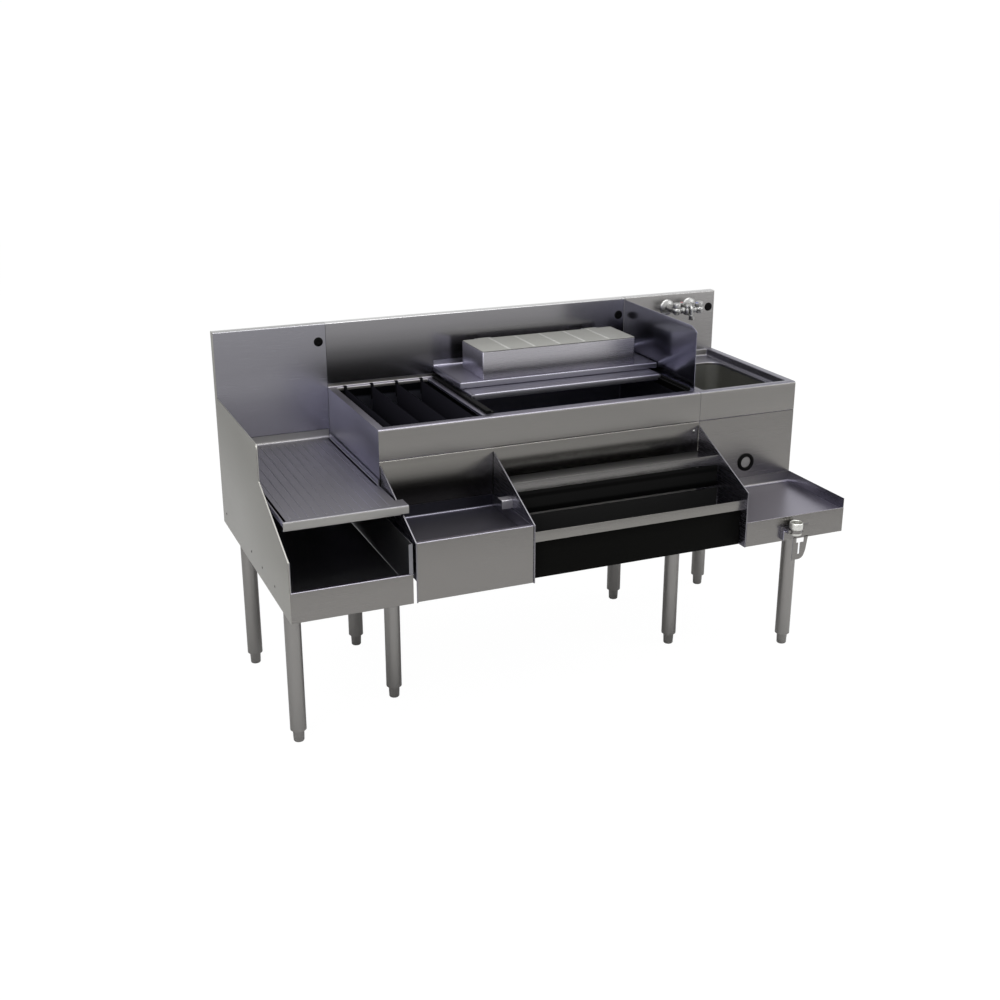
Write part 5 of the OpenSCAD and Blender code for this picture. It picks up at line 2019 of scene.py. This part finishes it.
@dataclass
class BottleRails:
    """Sloping plates, blender shelf and the two bottle rails.

    Attributes:
        soft: width of the plates' softened edges.
        plate_w: thickness of the middle plate.
        left_low: lower edge of the left plate's sheet.
        shelf_floor: height of the blender shelf's floor.
        rail_bend: radius of the rails' folds.
        upper_front: height of the upper rail's front.
        upper_back: height of its back.
        lower_front: height of the lower rail's front.
        lower_back: height of its back.
        bar_t: thickness of the bars.
        upper_bar_h: height of the upper bar, a little more than its solid's.
        lower_bar_h: height of the lower bar.
        clip_box: front, back, lower and upper side of the bracket.
    """

    soft: float = 0.5
    plate_w: float = 3.4
    left_low: float = 462.0
    shelf_floor: float = 525.0
    rail_bend: float = 5.0
    upper_front: float = 590.0
    upper_back: float = 556.0
    lower_front: float = 503.0
    lower_back: float = 528.0
    bar_t: float = 3.0
    upper_bar_h: float = 25.5
    lower_bar_h: float = 26.0
    clip_box: tuple[float, float, float, float] = (-598.0, -570.0, 559.0, 581.6)

    def build(self) -> None:
        """Builds the plates, the shelf and the rails."""
        for side in ("left", "mid", "right"):
            self.plate(side)
        self.blender_shelf()
        self.trays()
        self.bars()

    def plate(self, side: str) -> None:
        """One sloping plate; the left one has a return over its whole front edge.

        Args:
            side: which of the three.
        """
        box = SITE.span(f"rail_plate_{side}")
        slope_low = SITE.span("end_panel_inner").z1
        low = self.left_low if side == "left" else box.z0
        left = box.x1 - self.plate_w if side == "mid" else box.x0
        outline = ((box.y1, low), (box.y0, low), (box.y0, slope_low), (box.y1, box.z1))
        shape = Shape()
        shape.prism(outline, Axis.X, left, box.x1, self.soft, 3)
        if side == "left":
            shape.block((box.x0, box.x1, box.y0, box.y0 + SHEET, box.z0, low + 1), 0.4)
        shape.finish(f"rail_plate_{side}_sheet", STEEL_PLATE, node=f"rail_plate_{side}")
        if side == "mid":
            self.clip(box.x0, left)

    def clip(self, start: float, end: float) -> None:
        """Folded bracket on the left face of the middle plate.

        Args:
            start: its left end.
            end: the plate's left face.
        """
        front, back, low, top = self.clip_box
        shape = Shape()
        path = ((front + HALF, low, 0.0), (front + HALF, top - HALF, 1.5), (back, top - HALF, 0.0))
        shape.fold(path, Axis.X, start, end + 0.2)
        shape.block((end - SHEET, end + 0.2, front + 0.2, back, low, top - 0.3), 0.3, 1)
        shape.finish("rail_plate_clip", BRACKET)

    def blender_shelf(self) -> None:
        """Deep front with a hem, and the tray behind it, painted dark as shade."""
        box = SITE.span("blender_shelf")
        front = Shape()
        path = (
            (box.y0 + 12, box.z1 - HALF, 0.0), (box.y0 + HALF, box.z1 - HALF, 2.5),
            (box.y0 + HALF, box.z0 + HALF, 2.0), (box.y0 + 10, box.z0 + HALF, 0.0),
        )
        front.fold(path, Axis.X, box.x0, box.x1)
        front.finish("blender_shelf_front", STEEL, node="blender_shelf")
        tray = Shape()
        floor = self.shelf_floor - HALF
        inside = ((box.y0 + 2, floor, 0.0), (box.y1 - HALF, floor, 6.0), (box.y1 - HALF, box.z1, 0.0))
        tray.fold(inside, Axis.X, box.x0 + 0.3, box.x1 - 0.3)
        for x in (box.x0, box.x1 - SHEET):
            tray.block((x, x + SHEET, box.y0 + 1.6, box.y1 - 0.2, floor - 0.6, box.z1 - 1.6), 0.4)
        tray.finish("blender_shelf_tray", SHELF_SHADE)

    def trays(self) -> None:
        """Upper and lower bottle rails, folded sheet coloured near black."""
        box = SITE.span("rail_tray_upper")
        upper = Shape()
        path = (
            (box.y0 + HALF, self.upper_front, 0.0), (box.y0 + HALF, box.z0 + HALF, self.rail_bend),
            (box.y1 - HALF, box.z0 + HALF, self.rail_bend), (box.y1 - HALF, self.upper_back, 0.0),
        )
        upper.fold(path, Axis.X, box.x0, box.x1)
        upper.finish("rail_tray_upper_sheet", RAIL_UPPER, node="rail_tray_upper")
        box = SITE.span("rail_tray_lower")
        lower = Shape()
        path = (
            (box.y0 + SHEET, box.z0 + HALF, 0.0), (box.y1 - HALF, box.z0 + HALF, self.rail_bend),
            (box.y1 - HALF, self.lower_back, 0.0),
        )
        lower.fold(path, Axis.X, box.x0, box.x1)
        lower.finish("rail_tray_lower_sheet", RAIL_LOWER, node="rail_tray_lower")
        front = Shape()
        front.block((box.x0, box.x1, box.y0, box.y0 + SHEET, box.z0, self.lower_front), 0.4)
        front.finish("rail_tray_lower_front", RAIL_FRONT, node="rail_tray_lower")

    def bars(self) -> None:
        """Flat bars across the rails' fronts."""
        box = SITE.span("rail_bars")
        rows = (
            ("upper", STEEL_BAR_UPPER, box.y1 - self.bar_t, box.y1, box.z1 - self.upper_bar_h, box.z1),
            ("lower", STEEL_BAR, box.y0, box.y0 + self.bar_t, box.z0, box.z0 + self.lower_bar_h),
        )
        for side, finish, y0, y1, z0, z1 in rows:
            shape = Shape()
            shape.block((box.x0, box.x1, y0, y1, z0, z1), 0.5, 3)
            shape.finish(f"rail_bar_{side}", finish, node="rail_bars")


@dataclass
class Legs:
    """Eight tubes in sockets and eight levelling feet.

    Attributes:
        radius: radius of the tubes.
        wall: thickness of the tubes' walls.
        plug_h: height of the plug in each tube's lower end.
        hole_r: radius of the hole for the foot's stem.
        stem_r: radius of the foot's stem.
        row_gap: y between the front and the back row.
    """

    radius: float = 20.65
    wall: float = 1.6
    plug_h: float = 20.0
    hole_r: float = 8.2
    stem_r: float = 8.0
    row_gap: float = -386.0

    def build(self) -> None:
        """Builds the tubes and the feet."""
        dress_node("leg_sockets", STEEL)
        for number in range(1, 9):
            foot = SITE.span(f"foot_{number}")
            self.tube(number, foot)
            self.foot(number, foot)

    def tube(self, number: int, foot: Span) -> None:
        """One leg tube with rounded ends.

        Args:
            number: the leg's number.
            foot: the box of its foot.
        """
        box = SITE.span("leg_tubes_front")
        r = self.radius
        inner = r - self.wall
        plug = box.z0 + self.plug_h
        outline = (
            (self.hole_r, box.z0), (r - 0.5, box.z0), (r, box.z0 + 0.5), (r, box.z1 - 0.5),
            (r - 0.5, box.z1), (inner + 0.4, box.z1), (inner, box.z1 - 0.4), (inner, plug),
            (self.hole_r, plug), (self.hole_r, box.z0),
        )
        row = "front" if foot.mid_y < self.row_gap else "back"
        shape = Shape()
        shape.lathe(outline, (foot.mid_x, foot.mid_y, 0.0), Axis.Z, 56)
        shape.finish(f"leg_tube_{number}", STEEL_LEG, node=f"leg_tubes_{row}")

    def foot(self, number: int, box: Span) -> None:
        """One bullet foot with its stem.

        Args:
            number: the leg's number.
            box: the foot's box.
        """
        shape = Shape()
        r = (box.x1 - box.x0) / 2
        stem = self.stem_r
        outline = (
            (0.0, box.z0), (10.0, box.z0), (12.2, box.z0 + 0.8), (13.6, box.z0 + 3.0),
            (r - 0.9, 27.5), (r - 0.2, 29.6), (r, 31.0), (r - 0.4, 32.4), (r - 1.2, 32.8),
            (stem, 32.8), (stem, box.z1 - 1.0), (stem - 1.0, box.z1), (0.0, box.z1),
        )
        shape.lathe(outline, (box.mid_x, box.mid_y, 0.0), Axis.Z, 48)
        shape.finish(f"levelling_foot_{number}", STEEL_LEG, f"foot_body_{number}", f"foot_{number}")


# Setting


@dataclass(frozen=True)
class SoftLight:
    """Rectangular soft light aimed at a point of the row frame.

    Attributes:
        name: the light's name.
        place: where it stands.
        aim: what it points at.
        size: its width and height.
        power: its power in watts.
    """

    name: str
    place: tuple[float, float, float]
    aim: tuple[float, float, float]
    size: tuple[float, float]
    power: float

    def build(self) -> None:
        """Places the light."""
        data = bpy.data.lights.new(self.name, "AREA")
        data.shape = "RECTANGLE"
        data.size, data.size_y = self.size
        data.energy = self.power
        lamp = bpy.data.objects.new(self.name, data)
        lamp.location = self.place
        way = Vector(self.aim) - Vector(self.place)
        lamp.rotation_euler = way.to_track_quat("-Z", "Y").to_euler()
        bpy.context.scene.collection.objects.link(lamp)


@dataclass
class Setting:
    """Camera, lights, background and floor.

    Attributes:
        eye: the camera's place.
        angles: its turn in degrees.
        lens: its focal length in mm.
        fill: level of the world's diffuse light.
        white: level of the background that the camera and mirrors see.
        floor_size: half width of the floor, in metres.
        floor_glow: share of the floor that glows plain white to the camera.
        glow: level of that white.
        lights: the soft lights.
    """

    eye: tuple[float, float, float] = (-1.39237, -3.05567, 1.69323)
    angles: tuple[float, float, float] = (70.2615, 0.0, -22.9737)
    lens: float = 47.5113
    fill: float = 0.45
    white: float = 1.02
    floor_size: float = 9.0
    floor_glow: float = 0.93
    glow: float = 1.05
    lights: tuple[SoftLight, ...] = (
        SoftLight("key", (-2.6, -2.6, 3.0), (0.0, -0.1, 0.6), (2.2, 2.2), 60.0),
        SoftLight("top", (0.4, -0.4, 3.4), (0.0, -0.1, 0.7), (2.6, 2.0), 34.0),
        SoftLight("right", (3.0, -1.8, 1.8), (0.2, -0.1, 0.6), (1.6, 2.0), 22.0),
        SoftLight("strip", (0.0, -1.6, 3.6), (0.0, -0.3, 0.7), (5.0, 0.35), 40.0),
    )

    def build(self) -> None:
        """Builds the whole setting."""
        self.camera()
        for light in self.lights:
            light.build()
        self.world()
        self.floor()
        bpy.context.scene.view_settings.view_transform = "Standard"

    def camera(self) -> None:
        """The photo's camera."""
        data = bpy.data.cameras.new("camera")
        data.lens = self.lens
        data.sensor_width = 36.0
        eye = bpy.data.objects.new("camera", data)
        eye.location = self.eye
        eye.rotation_euler = [math.radians(a) for a in self.angles]
        bpy.context.scene.collection.objects.link(eye)
        bpy.context.scene.camera = eye

    def world(self) -> None:
        """White to the camera, to mirrors and through glass; soft grey otherwise."""
        world = bpy.data.worlds.new("studio")
        world.use_nodes = True
        bpy.context.scene.world = world
        nodes, links = world.node_tree.nodes, world.node_tree.links
        shine = nodes["Background"]
        shine.inputs["Color"].default_value = (1.0, 1.0, 1.0, 1.0)
        path = nodes.new("ShaderNodeLightPath")
        seen = path.outputs["Is Camera Ray"]
        for ray in ("Is Glossy Ray", "Is Transmission Ray"):
            either = nodes.new("ShaderNodeMath")
            either.operation = "MAXIMUM"
            links.new(seen, either.inputs[0])
            links.new(path.outputs[ray], either.inputs[1])
            seen = either.outputs[0]
        level = nodes.new("ShaderNodeMapRange")
        level.inputs["To Min"].default_value = self.fill
        level.inputs["To Max"].default_value = self.white
        links.new(seen, level.inputs["Value"])
        links.new(level.outputs["Result"], shine.inputs["Strength"])

    def floor(self) -> None:
        """Pale floor that keeps a faint shadow."""
        mesh = bmesh.new()
        bmesh.ops.create_grid(mesh, x_segments=1, y_segments=1, size=self.floor_size)
        data = bpy.data.meshes.new("floor")
        mesh.to_mesh(data)
        mesh.free()
        floor = bpy.data.objects.new("floor", data)
        bpy.context.scene.collection.objects.link(floor)
        data.materials.append(self.floor_material())

    def floor_material(self) -> bpy.types.Material:
        """Matte white that mostly glows to the camera.

        Returns:
            The floor's material.
        """
        made = bpy.data.materials.new("floor_white")
        made.use_nodes = True
        nodes, links = made.node_tree.nodes, made.node_tree.links
        matte = nodes["Principled BSDF"]
        matte.inputs["Base Color"].default_value = (0.86, 0.86, 0.86, 1.0)
        matte.inputs["Roughness"].default_value = 0.9
        matte.inputs["Specular IOR Level"].default_value = 0.0
        glow = nodes.new("ShaderNodeEmission")
        glow.inputs["Color"].default_value = (1.0, 1.0, 1.0, 1.0)
        glow.inputs["Strength"].default_value = self.glow
        path = nodes.new("ShaderNodeLightPath")
        share = nodes.new("ShaderNodeMath")
        share.operation = "MULTIPLY"
        share.inputs[1].default_value = self.floor_glow
        links.new(path.outputs["Is Camera Ray"], share.inputs[0])
        mix = nodes.new("ShaderNodeMixShader")
        links.new(share.outputs[0], mix.inputs["Fac"])
        links.new(matte.outputs["BSDF"], mix.inputs[1])
        links.new(glow.outputs["Emission"], mix.inputs[2])
        links.new(mix.outputs["Shader"], nodes["Material Output"].inputs["Surface"])
        return made


def main() -> None:
    """Builds every sub-assembly in order, then the setting."""
    parts = (
        Backsplash(),
        DrainModule(),
        CentreModule(),
        GarnishStation(),
        SinkModule(),
        WallFaucet(),
        GunStation(),
        BottleRails(),
        Legs(),
    )
    for part in parts:
        LOG.info("building %s", type(part).__name__)
        part.build()
    Setting().build()
    bpy.context.view_layer.update()


if __name__ == "__main__":
    logging.basicConfig(level=logging.INFO, format="%(name)s: %(message)s")
    main()
